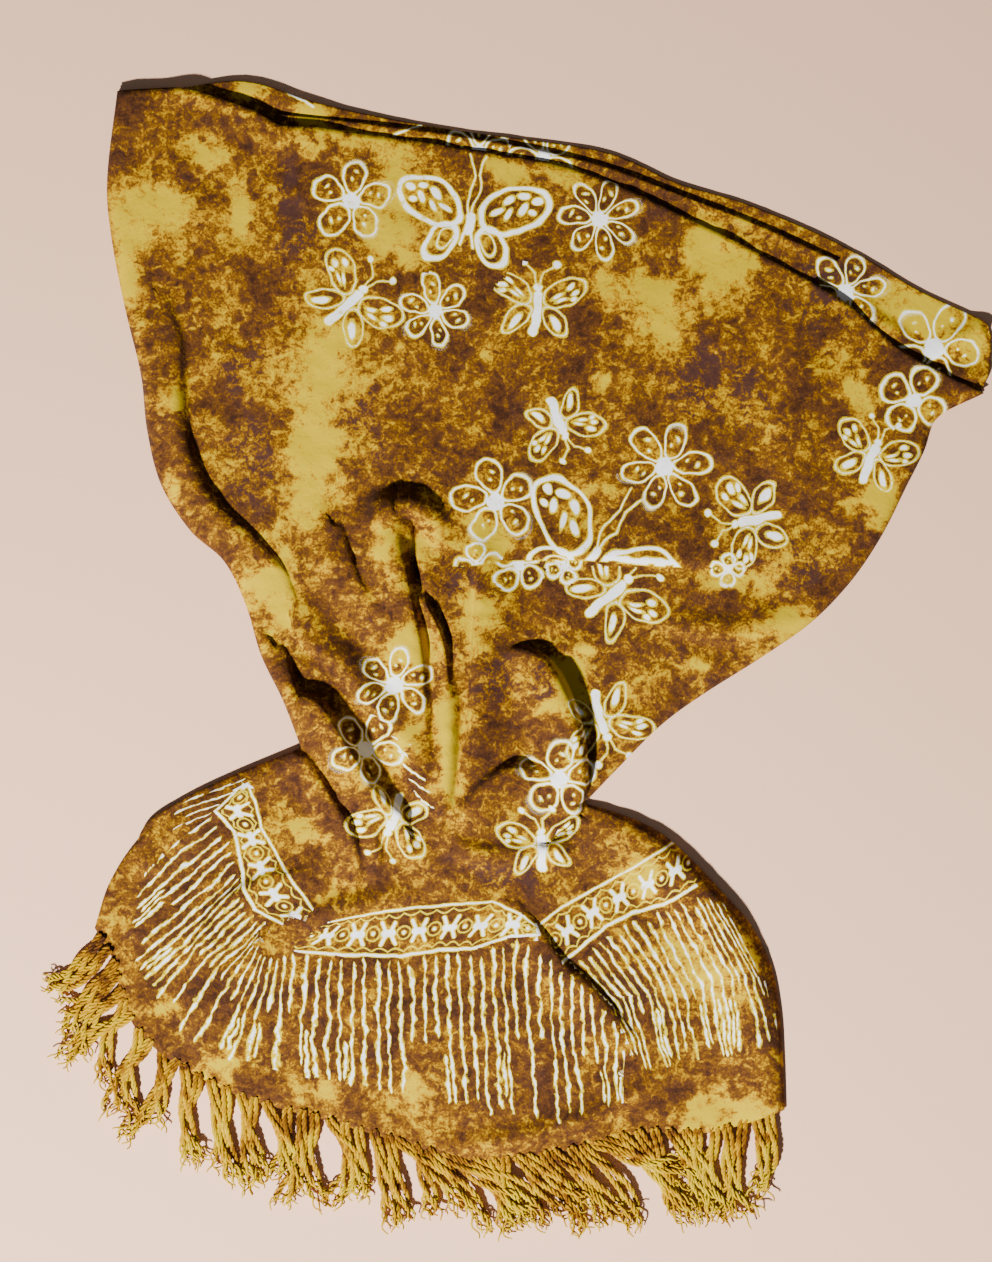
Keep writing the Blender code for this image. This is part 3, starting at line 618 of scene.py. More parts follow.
STROKE_ROWS = tuple(tuple((number, *(from_pixels(*spot) for spot in spots)) for number, *spots in part)
                    for part in STROKE_PIXELS)
BAND_ROWS = tuple(tuple((from_pixels(*upper), from_pixels(*lower)) for upper, lower in part)
                  for part in BAND_PIXELS)
YELLOW_PATCHES, PURPLE_PATCHES = patch_rows(YELLOW_PIXELS), patch_rows(PURPLE_PIXELS)
print(sum(len(part) for part in STROKE_ROWS), "rows of strokes")
print(len(YELLOW_PATCHES), "yellow and", len(PURPLE_PATCHES), "purple patches")

# %% Find the place of each corner in a figure
FIGURE_REACH, PAST_TUCK, OUT_OF_REACH = 1.12, 2.5, 9


def above_tuck(places):
    """Return how far each place lies above the cross tuck's edge, or below it where negative."""
    path = smooth_path(TUCK_EDGE)
    return places[:, 1] - np.interp(places[:, 0], path[:, 0], path[:, 1])


def in_figures(figures, centres, corners):
    """Return each corner's place in the figure its face lies in, and that figure's kind and size."""
    best = np.full(len(centres), FIGURE_REACH)
    chosen = np.full(len(centres), -1)
    height = above_tuck(centres)
    for number, (_, place, size, _, _, side) in enumerate(figures):
        away = np.linalg.norm((centres - place) / size, axis=1)
        away += np.where(side * height < -PAST_TUCK, OUT_OF_REACH, 0)
        inside = away < best
        best[inside], chosen[inside] = away[inside], number
    spot = np.zeros((len(centres), 4, 3))
    kind = np.zeros((len(centres), 4, 3))
    for number, (which, place, size, turn, petals, side) in enumerate(figures):
        mine = chosen == number
        c, s = math.cos(math.radians(turn)), math.sin(math.radians(turn))
        local = (corners[mine] - place) / size
        spot[mine, :, 0] = c * local[..., 0] + s * local[..., 1]
        spot[mine, :, 1] = -s * local[..., 0] + c * local[..., 1]
        spot[mine, :, 2] = side
        kind[mine] = (which, size, max(petals, 4))
    return spot, kind


# %% Unroll the ruled strips of the band and the strokes
NEWTON_STEPS, BAND_BREAK = 9, 9.0


def unrolled(places, quad):
    """Return the two shares of each place in a four-cornered stretch, found by Newton's steps."""
    a, b, d, c = (np.array(corner, dtype=float) for corner in quad)
    share = np.full(places.shape, 0.5)
    for _ in range(NEWTON_STEPS):
        u, v = share[..., :1], share[..., 1:]
        miss = a + (b - a) * u + (d - a) * v + (a - b - d + c) * u * v - places
        by_u = (b - a) + (a - b - d + c) * v
        by_v = (d - a) + (a - b - d + c) * u
        size = by_u[..., 0] * by_v[..., 1] - by_u[..., 1] * by_v[..., 0]
        size = np.where(np.abs(size) < 1e-3, 1e-3, size)
        step_u = (miss[..., 0] * by_v[..., 1] - miss[..., 1] * by_v[..., 0]) / size
        step_v = (by_u[..., 0] * miss[..., 1] - by_u[..., 1] * miss[..., 0]) / size
        share = np.clip(share - np.stack([step_u, step_v], axis=-1), -1, 2)
    return share


def on_strips(strips, centres, corners):
    """Return (along, across, width) for each corner on a ruled strip, and zeros elsewhere."""
    result = np.zeros((len(centres), 4, 3))
    for quad, starts, ends, tops, bottoms, widths in strips:
        box = np.array(quad)
        near = ((centres > box.min(axis=0) - 2) & (centres < box.max(axis=0) + 2)).all(axis=1)
        index = np.nonzero(near)[0]
        share = unrolled(centres[index], quad)
        index = index[((share > -0.02) & (share < 1.02)).all(axis=1)]
        corner_share = unrolled(corners[index], quad)
        result[index, :, 0] = starts + (ends - starts) * corner_share[..., 0]
        result[index, :, 1] = tops + (bottoms - tops) * corner_share[..., 1]
        wide = widths[0] + (widths[1] - widths[0]) * corner_share[..., 0]
        result[index, :, 2] = np.maximum(wide, 0.3)
    return result


def stroke_strips():
    """Turn the rows of strokes into four-cornered stretches, two down each stroke."""
    strips = []
    for part in STROKE_ROWS:
        for before, after in zip(part, part[1:]):
            for half in (0, 1):
                quad = (before[1 + half], after[1 + half], before[2 + half], after[2 + half])
                middle = (np.array(after[2]) - before[2]) / (after[0] - before[0])
                strips.append((quad, before[0], after[0], half / 2, (half + 1) / 2,
                               (np.linalg.norm(middle),) * 2))
    return strips


def band_strips():
    """Turn the rows of the band into four-cornered stretches, with lengths along its lower edge."""
    strips, run = [], 0.0
    for part in BAND_ROWS:
        for (upper, lower), (next_upper, next_lower) in zip(part, part[1:]):
            middle = (np.array(next_upper) + next_lower - upper - lower) / 2
            end = run + float(np.linalg.norm(middle))
            widths = [float(np.linalg.norm(np.array(a) - b))
                      for a, b in ((upper, lower), (next_upper, next_lower))]
            strips.append(((upper, next_upper, lower, next_lower), run, end, 0.0, 1.0, widths))
            run = end
        run += BAND_BREAK
    return strips


print(len(stroke_strips()), "stretches of strokes,", len(band_strips()), "of the band")

# %% Spread the dye
def patches(places, rows):
    """Return how strongly soft round patches colour each place, from 0 to 1."""
    clear = np.ones(len(places))
    places = places + np.stack([5.0 * waves(places, 34, 31) + 2.5 * waves(places, 12, 33),
                                5.0 * waves(places, 34, 35) + 2.5 * waves(places, 12, 37)], axis=1)
    for x, y, half_width, half_height in rows:
        away = ((places[:, 0] - x) / half_width) ** 2 + ((places[:, 1] - y) / half_height) ** 2
        clear *= 1 - 0.95 * np.exp(-0.8 * away)
    return 1 - clear


def keep(mesh, name, domain, values):
    """Store three numbers for each point or corner of the mesh."""
    attribute = mesh.attributes.new(name, "FLOAT_VECTOR", domain)
    attribute.data.foreach_set("vector", np.asarray(values, dtype=np.float32).ravel())


def placed(name, data):
    """Put an object with the given data in the scene."""
    item = bpy.data.objects.new(name, data)
    bpy.context.scene.collection.objects.link(item)
    return item


FIGURE_LAYERS = (("flower", (FLOWER, LINE)), ("butterfly", (SMALL_BUTTERFLY, LARGE_BUTTERFLY)))


def cloth_piece(name, grid, flat, material, figures=(), ruled=False, lowest=0.1):
    """Make one stretch of cloth: a closed shell that knows its dye, figures and ruled strips."""
    corners, quads = shell_mesh(grid, lowest)
    mesh = bpy.data.meshes.new(name)
    mesh.from_pydata((corners * MM).tolist(), [], quads.tolist())
    places = np.tile(flat.reshape(-1, 2), (2, 1))
    centres, around = places[quads].mean(axis=1), places[quads]
    for layer, kinds in FIGURE_LAYERS:
        rows = [row for row in figures if row[0] in kinds]
        spot, kind = in_figures(rows, centres, around)
        keep(mesh, layer + "_place", "CORNER", spot)
        keep(mesh, layer + "_kind", "CORNER", kind)
    keep(mesh, "stroke", "CORNER", on_strips(stroke_strips() if ruled else [], centres, around))
    keep(mesh, "band", "CORNER", on_strips(band_strips() if ruled else [], centres, around))
    dye = np.stack([patches(places, YELLOW_PATCHES), patches(places, PURPLE_PATCHES),
                    above_tuck(places)], axis=1)
    keep(mesh, "dye", "POINT", dye)
    keep(mesh, "cloth", "POINT", np.concatenate([places / 10, np.zeros((len(places), 1))], axis=1))
    mesh.polygons.foreach_set("use_smooth", np.ones(len(quads), dtype=bool))
    mesh.materials.append(material)
    print("%s: %d triangles, %.3f m2" % (name, 2 * len(quads), upper_area(grid)))
    return placed(name, mesh)


# %% [markdown]
# ## A pen for node trees
# A material that draws figures needs many Math nodes. A small pen object keeps them readable: each
# call adds one node, links what it is given, and returns the new output.

# %% Make the pen
class Pen:
    """Adds nodes to one tree, one call each."""

    def __init__(self, tree):
        """Keep the tree that the nodes go into."""
        self.tree = tree

    def node(self, kind, settings=(), **inputs):
        """Add a node, set its choices, and link or set its inputs by name."""
        added = self.tree.nodes.new(kind)
        for key, value in dict(settings).items():
            setattr(added, key, value)
        for key, value in inputs.items():
            self.put(added.inputs[key.replace("_", " ")], value)
        return added

    def put(self, socket, value):
        """Link an output to the socket, or set the socket's own value."""
        if isinstance(value, bpy.types.NodeSocket):
            self.tree.links.new(value, socket)
        else:
            socket.default_value = value

    def math(self, operation, *values, clamp=False):
        """Add a Math node."""
        added = self.node("ShaderNodeMath", {"operation": operation, "use_clamp": clamp})
        for socket, value in zip(added.inputs, values):
            self.put(socket, value)
        return added.outputs[0]

    def vector(self, operation, *values):
        """Add a Vector Math node; lengths and products come from its second output."""
        added = self.node("ShaderNodeVectorMath", {"operation": operation})
        for socket, value in zip(added.inputs, values):
            self.put(socket, value)
        return added.outputs[1 if operation in ("LENGTH", "DISTANCE", "DOT_PRODUCT") else 0]

    def scaled(self, direction, amount):
        """Scale a vector by a number."""
        added = self.node("ShaderNodeVectorMath", {"operation": "SCALE"})
        self.put(added.inputs[0], direction)
        self.put(added.inputs["Scale"], amount)
        return added.outputs[0]

    def group(self, tree, *values):
        """Add a node group, link or set its inputs in order, and return its output."""
        added = self.node("ShaderNodeGroup", {"node_tree": tree})
        for socket, value in zip(added.inputs, values):
            self.put(socket, value)
        return added.outputs[0]

    def parts(self, vector):
        """Return the three parts of a vector."""
        return self.node("ShaderNodeSeparateXYZ", Vector=vector).outputs

    def smooth(self, value, low, high):
        """Return 0 below low and 1 above high, with a soft step between them."""
        added = self.node("ShaderNodeMapRange", {"interpolation_type": "SMOOTHSTEP"})
        for key, number in (("Value", value), ("From Min", low), ("From Max", high),
                            ("To Min", 0.0), ("To Max", 1.0)):
            self.put(added.inputs[key], number)
        return added.outputs[0]

    def smallest(self, values):
        """Return the smallest of several values, each compared as soon as it is drawn."""
        result = None
        for value in values:
            result = value if result is None else self.math("MINIMUM", result, value)
        return result

    def noise(self, place, scale, detail=2.0, roughness=0.5, distortion=0.0):
        """Add a Noise texture and return its value."""
        return self.node("ShaderNodeTexNoise", Vector=place, Scale=scale, Detail=detail,
                         Roughness=roughness, Distortion=distortion).outputs[0]

    def mix(self, factor, first, second, way="MIX"):
        """Mix two colours."""
        added = self.node("ShaderNodeMix", {"data_type": "RGBA", "blend_type": way})
        self.put(added.inputs[0], factor)
        self.put(added.inputs[6], first)
        self.put(added.inputs[7], second)
        return added.outputs[2]

    def named(self, name):
        """Read one of the mesh's stored attributes as a vector."""
        return self.node("ShaderNodeAttribute", {"attribute_name": name}).outputs["Vector"]


def shape_group(name, inputs, draw):
    """Make a node group that returns one distance; draw fills it in with a pen."""
    group = bpy.data.node_groups.new(name, "ShaderNodeTree")
    for label, kind in inputs:
        group.interface.new_socket(label, in_out="INPUT", socket_type=kind)
    group.interface.new_socket("Distance", in_out="OUTPUT", socket_type="NodeSocketFloat")
    pen = Pen(group)
    given = group.nodes.new("NodeGroupInput")
    result = group.nodes.new("NodeGroupOutput")
    group.links.new(draw(pen, *(given.outputs[label] for label, _ in inputs)), result.inputs[0])
    return group


# %% [markdown]
# ## The wax figures
# Flowers and butterflies are common batik figures, drawn freehand with a wax pen. Each is a distance:
# below zero is wax. A flower folds the angle round its middle into one petal, and a butterfly folds
# its right half onto its left, so that each petal or wing is only drawn once.

# %% Draw a petal, a wing and a line
def draw_oval(pen, place, centre, half, turn):
    """Return the distance to an oval's rim, below zero inside it."""
    angle = pen.node("ShaderNodeCombineXYZ", Z=turn).outputs[0]
    local = pen.node("ShaderNodeMapping", {"vector_type": "TEXTURE"}, Vector=place, Location=centre,
                     Rotation=angle, Scale=half).outputs[0]
    half_long, half_wide, _ = pen.parts(half)
    smaller = pen.math("MINIMUM", half_long, half_wide)
    return pen.math("MULTIPLY", pen.math("SUBTRACT", pen.vector("LENGTH", local), 1.0), smaller)


def draw_line(pen, place, start, end):
    """Return the distance to a straight line between two places."""
    step = pen.vector("SUBTRACT", end, start)
    away = pen.vector("SUBTRACT", place, start)
    share = pen.math("DIVIDE", pen.vector("DOT_PRODUCT", away, step),
                     pen.vector("DOT_PRODUCT", step, step), clamp=True)
    nearest = pen.scaled(step, share)
    return pen.vector("LENGTH", pen.vector("SUBTRACT", away, nearest))


OVAL = shape_group("oval", (("Place", "NodeSocketVector"), ("Centre", "NodeSocketVector"),
                            ("Half size", "NodeSocketVector"), ("Turn", "NodeSocketFloat")), draw_oval)
LINE_BETWEEN = shape_group("line between", (("Place", "NodeSocketVector"),
                                            ("Start", "NodeSocketVector"),
                                            ("End", "NodeSocketVector")), draw_line)


def oval(pen, place, x, y, half_long, half_wide, degrees=0.0):
    """Add an oval at a place, and return its distance."""
    return pen.group(OVAL, place, (x, y, 0), (half_long, half_wide, 1), math.radians(degrees))


def line(pen, place, x, y, to_x, to_y):
    """Add a straight line, and return the distance to it."""
    return pen.group(LINE_BETWEEN, place, (x, y, 0), (to_x, to_y, 0))


def outline(pen, distance, half_width):
    """Return the distance to a line drawn along a shape's rim."""
    return pen.math("SUBTRACT", pen.math("ABSOLUTE", distance), half_width)


def filled(pen, distance, grown):
    """Return a shape's distance with its rim moved out by an amount."""
    return pen.math("SUBTRACT", distance, grown)


# %% Draw a flower
def draw_flower(pen, place, petals, line_width, seed):
    """Return the distance to the wax of a flower of radius 1."""
    x, y, _ = pen.parts(place)
    angle = pen.math("ARCTAN2", y, x)
    sector = pen.math("DIVIDE", 2 * math.pi, petals)
    half = pen.math("MULTIPLY", sector, 0.5)
    folded = pen.math("WRAP", angle, half, pen.math("MULTIPLY", half, -1.0))
    number = pen.math("FLOOR", pen.math("DIVIDE", pen.math("ADD", angle, half), sector))
    chance = pen.node("ShaderNodeTexWhiteNoise", {"noise_dimensions": "1D"},
                      W=pen.math("ADD", number, seed)).outputs[0]
    radius = pen.math("DIVIDE", pen.vector("LENGTH", place),
                      pen.math("MULTIPLY_ADD", chance, 0.16, 0.90))
    outward = pen.math("MULTIPLY", radius, pen.math("COSINE", folded))
    aside = pen.math("MULTIPLY", radius, pen.math("SINE", folded))
    widest = pen.math("MULTIPLY", pen.math("TANGENT", half), 0.42)
    width = pen.math("MULTIPLY", widest, pen.math("MULTIPLY_ADD", outward, 0.55, 0.62))
    petal = pen.node("ShaderNodeCombineXYZ",
                     X=pen.math("DIVIDE", pen.math("SUBTRACT", outward, 0.60), 0.40),
                     Y=pen.math("DIVIDE", aside, width)).outputs[0]
    rim = pen.math("MULTIPLY", pen.math("SUBTRACT", pen.vector("LENGTH", petal), 1.0), 0.31)
    local = pen.node("ShaderNodeCombineXYZ", X=outward, Y=aside).outputs[0]
    return pen.smallest([
        outline(pen, rim, line_width),
        filled(pen, pen.vector("LENGTH", place), 0.20),
        oval(pen, local, 0.52, 0.06, 0.035, 0.03, 30), oval(pen, local, 0.70, -0.05, 0.06, 0.035, 60)])


FLOWER_GROUP = shape_group("flower", (("Place", "NodeSocketVector"), ("Petals", "NodeSocketFloat"),
                                      ("Line", "NodeSocketFloat"), ("Seed", "NodeSocketFloat")),
                           draw_flower)


# %% Draw the two butterflies
def mirrored(pen, place):
    """Fold the left half of a place onto its right half."""
    x, y, _ = pen.parts(place)
    return pen.node("ShaderNodeCombineXYZ", X=pen.math("ABSOLUTE", x), Y=y).outputs[0]


def drawn_rows(pen, place, rows, line_width):
    """Draw ovals and lines from rows of numbers, one at a time, and hand over each distance.

    An oval's row is (place, half size, turn, rim) and is filled where its rim is 0; a line's row is
    (start, end, width). Rims and widths count in lines of the given width.
    """
    for row in rows:
        if len(row) == 3:
            start, end, width = row
            yield filled(pen, line(pen, place, *start, *end), pen.math("MULTIPLY", line_width, width))
        else:
            centre, half, turn, rim = row
            distance = oval(pen, place, *centre, *half, turn)
            yield outline(pen, distance, pen.math("MULTIPLY", line_width, rim)) if rim else distance


SMALL_ROWS = (
    ((0.50, 0.27), (0.42, 0.25), 27, 1.0), ((0.36, -0.28), (0.33, 0.17), -48, 1.0),
    ((0.38, -0.33), (0.17, 0.065), -55, 0), ((0, 0.20), (0, -0.50), 7.5),
    ((0, 0.34), (0.075, 0.075), 0, 0), ((0.36, 0.20), (0.12, 0.035), 38, 0),
    ((0.45, 0.13), (0.12, 0.035), 20, 0), ((0.56, 0.40), (0.085, 0.05), 40, 0),
    ((0.68, 0.29), (0.085, 0.05), 25, 0), ((0.68, 0.17), (0.07, 0.045), 10, 0),
    ((0.30, 0.80), (0.065, 0.065), 0, 0), ((0.03, 0.40), (0.07, 0.60), 0.9),
    ((0.07, 0.60), (0.27, 0.77), 0.9))
LARGE_ROWS = (
    ((0.54, 0.22), (0.44, 0.27), 26, 1.35), ((0.33, -0.27), (0.25, 0.17), -52, 1.35),
    ((0.27, -0.24), (0.15, 0.09), -50, 0.5), ((0, 0.10), (0, -0.14), 2.6),
    ((0.03, -0.14), (0.10, -0.34), 0.9), ((0.34, 0.17), (0.09, 0.04), 24, 0),
    ((0.46, 0.32), (0.09, 0.045), 40, 0), ((0.50, 0.15), (0.08, 0.04), 70, 0),
    ((0.63, 0.41), (0.07, 0.045), 15, 0), ((0.66, 0.24), (0.09, 0.045), 80, 0),
    ((0.80, 0.38), (0.07, 0.055), 20, 0), ((0.77, 0.20), (0.05, 0.04), 0, 0),
    ((0.01, 0.12), (0.07, 0.40), 0.55), ((0.07, 0.40), (0.03, 0.62), 0.5),
    ((0.03, 0.62), (0.10, 0.86), 0.5))


def draw_small_butterfly(pen, place, line_width):
    """Return the distance to a small butterfly's wax: thin wings, dotted fingers, curled feelers."""
    return pen.smallest(drawn_rows(pen, mirrored(pen, place), SMALL_ROWS, line_width))


def draw_large_butterfly(pen, place, line_width):
    """Return the distance to the wax of a large butterfly: bold wings full of ovals."""
    return pen.smallest(drawn_rows(pen, mirrored(pen, place), LARGE_ROWS, line_width))


BUTTERFLY_INPUTS = (("Place", "NodeSocketVector"), ("Line", "NodeSocketFloat"))
SMALL_GROUP = shape_group("small butterfly", BUTTERFLY_INPUTS, draw_small_butterfly)
LARGE_GROUP = shape_group("large butterfly", BUTTERFLY_INPUTS, draw_large_butterfly)


# %% Choose the figure by its kind
def figure_wax(pen, layer, above, draws):
    """Return the distance in millimetres to the wax of the nearest figure of one layer."""
    kinds = pen.named(layer + "_kind")
    which, size, petals = pen.parts(kinds)
    size = pen.math("MAXIMUM", size, 1.0)
    place = pen.named(layer + "_place")
    side = pen.parts(place)[2]
    shake = pen.node("ShaderNodeTexNoise", Vector=pen.vector("ADD", place, kinds), Scale=2.1,
                     Detail=1.5).outputs["Color"]
    shake = pen.vector("MULTIPLY_ADD", shake, (0.22, 0.22, 0.0), (-0.11, -0.11, 0.0))
    place = pen.vector("MULTIPLY", pen.vector("ADD", place, shake), (1.0, 1.0, 0.0))
    line_width = pen.math("DIVIDE", 1.0, size)
    shown = (pen.math("MULTIPLY_ADD", pen.math("ABSOLUTE", pen.math("SUBTRACT", which, float(number))),
                      9.0, draw(place, petals, line_width, size)) for number, draw in draws)
    distance = pen.math("MULTIPLY", pen.smallest(shown), size)
    cut = pen.math("MULTIPLY", pen.math("MULTIPLY", side, -1.0), above)
    uncut = pen.math("SUBTRACT", 1.0, pen.math("ABSOLUTE", side))
    return pen.math("MAXIMUM", distance, pen.math("MULTIPLY_ADD", uncut, -999.0, cut))


def flower_wax(pen, above):
    """Return the distance to the flowers and single lines."""
    return figure_wax(pen, "flower", above, (
        (FLOWER, lambda place, petals, width, size: pen.group(
            FLOWER_GROUP, place, petals, pen.math("MULTIPLY", width, 0.78), size)),
        (LINE, lambda place, *_: filled(pen, line(pen, place, -0.85, 0, 0.85, 0), 0.07))))


def butterfly_wax(pen, above):
    """Return the distance to the butterflies."""
    return figure_wax(pen, "butterfly", above, (
        (SMALL_BUTTERFLY, lambda place, petals, width, size: pen.group(
            SMALL_GROUP, place, pen.math("MULTIPLY", width, 0.38))),
        (LARGE_BUTTERFLY, lambda place, petals, width, size: pen.group(LARGE_GROUP, place, width))))


# %% [markdown]
# ## The band and the long strokes
# Below the waist a band of bones and ringed dots runs round the bell, and long wavering strokes hang
# from it. Both are drawn along the strips noted above: a stroke is the nearest whole number along
# the strip, so the count is as charted everywhere, and its ends and width waver by chance.

# %% Draw the strokes
def one_stroke_set(pen, wander, swayed, down, pitch, salt, earliest, latest, share):
    """Return the distance to one set of strokes, drawn between two depths.

    A share of them is drawn, by chance; a share below zero draws those that it would leave out.
    """
    number = pen.math("ROUND", swayed)
    chances = pen.node("ShaderNodeTexWhiteNoise", {"noise_dimensions": "1D"},
                       W=pen.math("ADD", number, salt))
    chance = pen.parts(chances.outputs["Color"])
    off = pen.math("MULTIPLY", pen.math("ABSOLUTE", pen.math("SUBTRACT", swayed, number)), pitch)
    uneven = pen.noise(wander, 1.7, 1.0)
    half = pen.math("MULTIPLY_ADD", uneven, 2.6, pen.math("MULTIPLY_ADD", pitch, 0.08, -1.16))
    starts = pen.math("MULTIPLY_ADD", chance[0], 0.07, earliest)
    ends = pen.math("SUBTRACT", latest, pen.math("MULTIPLY", chance[1], 0.13))
    distance = pen.math("SUBTRACT", off, half)
    for past in (pen.math("SUBTRACT", starts, down), pen.math("SUBTRACT", down, ends)):
        tip = pen.math("MULTIPLY_ADD", past, 60.0, pen.math("MULTIPLY_ADD", off, 1.2, -0.6))
        distance = pen.math("MAXIMUM", distance, tip)
    left_out = pen.math("GREATER_THAN" if share > 0 else "LESS_THAN", chance[2], abs(share))
    return pen.math("MULTIPLY_ADD", left_out, 50.0, distance)


def stroke_wax(pen):
    """Return the distance in millimetres to the nearest long stroke."""
    attribute = pen.named("stroke")
    along_band, down, pitch = pen.parts(attribute)
    apart = pen.node("ShaderNodeCombineXYZ", Z=pen.math("MULTIPLY", along_band, 0.8)).outputs[0]
    wander = pen.vector("ADD", pen.named("cloth"), apart)
    broad = pen.math("SUBTRACT", pen.noise(wander, 0.5, 1.0), 0.5)
    fine = pen.math("SUBTRACT", pen.noise(wander, 2.1, 1.0), 0.5)
    sway = pen.math("MULTIPLY_ADD", broad, 1.0, pen.math("MULTIPLY", fine, 0.36))
    swayed = pen.math("ADD", along_band, sway)
    between = pen.math("ADD", swayed, 0.5)
    rows = ((swayed, 0.0, 0.0, 1.03, 0.74), (swayed, 0.0, 0.0, 0.62, -0.74),
            (between, 50.0, 0.62, 1.02, 0.15))
    nearest = pen.smallest(one_stroke_set(pen, wander, place, down, pitch, *rest)
                           for place, *rest in rows)
    return pen.math("MULTIPLY_ADD", pen.math("LESS_THAN", pitch, 0.1), 50.0, nearest)


# %% Draw the band
HALF_REPEAT, SCALLOP_PITCH = 10.0, 0.314


def band_wax(pen):
    """Return the distance in millimetres to the wax of the band: borders, bones and ringed dots."""
    run, share, width = pen.parts(pen.named("band"))
    unevenness = pen.math("SUBTRACT", pen.noise(pen.named("cloth"), 0.9, 2.0), 0.5)
    shaken = pen.math("MULTIPLY", unevenness, 2.6)
    from_top = pen.math("ADD", pen.math("MULTIPLY", share, width), shaken)
    from_foot = pen.math("SUBTRACT", width, from_top)
    swing = pen.math("SINE", pen.math("MULTIPLY", run, SCALLOP_PITCH))
    wave = pen.math("MULTIPLY", pen.math("ABSOLUTE", swing), 2.4)
    shapes = []
    for inward, thick in ((from_top, 0.75), (from_foot, 1.05)):
        shapes.append(outline(pen, pen.math("SUBTRACT", inward, 1.8), thick))
        scallop = pen.math("SUBTRACT", pen.math("SUBTRACT", inward, 4.4), wave)
        shapes.append(outline(pen, scallop, 0.15))
    across = pen.math("SUBTRACT", from_top, pen.math("MULTIPLY", width, 0.5))
    bone = pen.node("ShaderNodeCombineXYZ", X=pen.math("WRAP", run, HALF_REPEAT, -HALF_REPEAT),
                    Y=across).outputs[0]
    dot = pen.node("ShaderNodeCombineXYZ", Y=across,
                   X=pen.math("WRAP", pen.math("ADD", run, HALF_REPEAT), HALF_REPEAT,
                              -HALF_REPEAT)).outputs[0]
    bone_side = pen.vector("ABSOLUTE", bone)
    shapes.append(filled(pen, line(pen, bone_side, 1.2, 0.0, 4.4, 6.8), 1.15))
    shapes.append(filled(pen, line(pen, bone_side, 0.0, 0.0, 2.6, 0.0), 2.3))
    shapes.append(filled(pen, pen.vector("LENGTH", dot), 1.3))
    shapes.append(outline(pen, filled(pen, pen.vector("LENGTH", dot), 4.4), 0.1))
    missing = pen.math("LESS_THAN", width, 0.1)
    return pen.math("MULTIPLY_ADD", missing, 50.0, pen.smallest(shapes))


# %% [markdown]
# ## The dyed cloth
# The cloth was tied up and dyed brown over yellow, so the brown has feathery edges. Noise whose place
# is pushed about by more noise gives such feathers; a colour ramp turns the result into the dye's
# steps from purplish brown through ochre to bright yellow. Next to each wax line a rim stays yellow.
# One material serves all four stretches of cloth.

# %% Mix the dyes and the wax
YELLOW, GOLDEN, OCHRE = (0.46, 0.32, 0.0, 1), (0.37, 0.19, 0.0, 1), (0.18, 0.072, 0.002, 1)
TAN, BROWN, DARK_BROWN = (0.104, 0.040, 0.005, 1), (0.070, 0.024, 0.006, 1), (0.032, 0.011, 0.005, 1)
PURPLE_BROWN = (0.047, 0.019, 0.017, 1)
WAX_WHITE, WAX_RIM = (0.80, 0.81, 0.84, 1), (0.58, 0.44, 0.0, 1)


THREADS = 110.0


def ramp(pen, value, steps):
    """Add a colour ramp with the given places and colours."""
    added = pen.node("ShaderNodeValToRGB", Fac=value)
    elements = added.color_ramp.elements
    for place, shade in steps[1:-1]:
        elements.new(place).color = shade
    elements[0].position, elements[0].color = steps[0]
    elements[-1].position, elements[-1].color = steps[-1]
    return added.outputs[0]


def dye_value(pen, cloth, dye):
    """Return how much yellow shows, from 0 to 1, with feathery edges."""
    pushed = pen.node("ShaderNodeTexNoise", Vector=cloth, Scale=1.1, Detail=3.0).outputs["Color"]
    pushed = pen.vector("MULTIPLY", pen.vector("SUBTRACT", pushed, (0.5, 0.5, 0.5)), (1.4, 1.4, 0))
    feathered = pen.vector("ADD", cloth, pushed)
    clouds = pen.noise(cloth, 0.34, 3.0, 0.6, 0.4)
    feathers = pen.noise(feathered, 1.9, 4.0, 0.6, 0.25)
    flecks = pen.noise(cloth, 6.0, 3.0, 0.6, 0.4)
    total = pen.math("MULTIPLY_ADD", dye, 0.52, 0.36)
    for noise, strength in ((clouds, 1.1), (feathers, 1.15), (flecks, 0.65)):
        swing = pen.math("SUBTRACT", noise, 0.5)
        total = pen.math("ADD", total, pen.math("MULTIPLY", swing, strength))
    return total


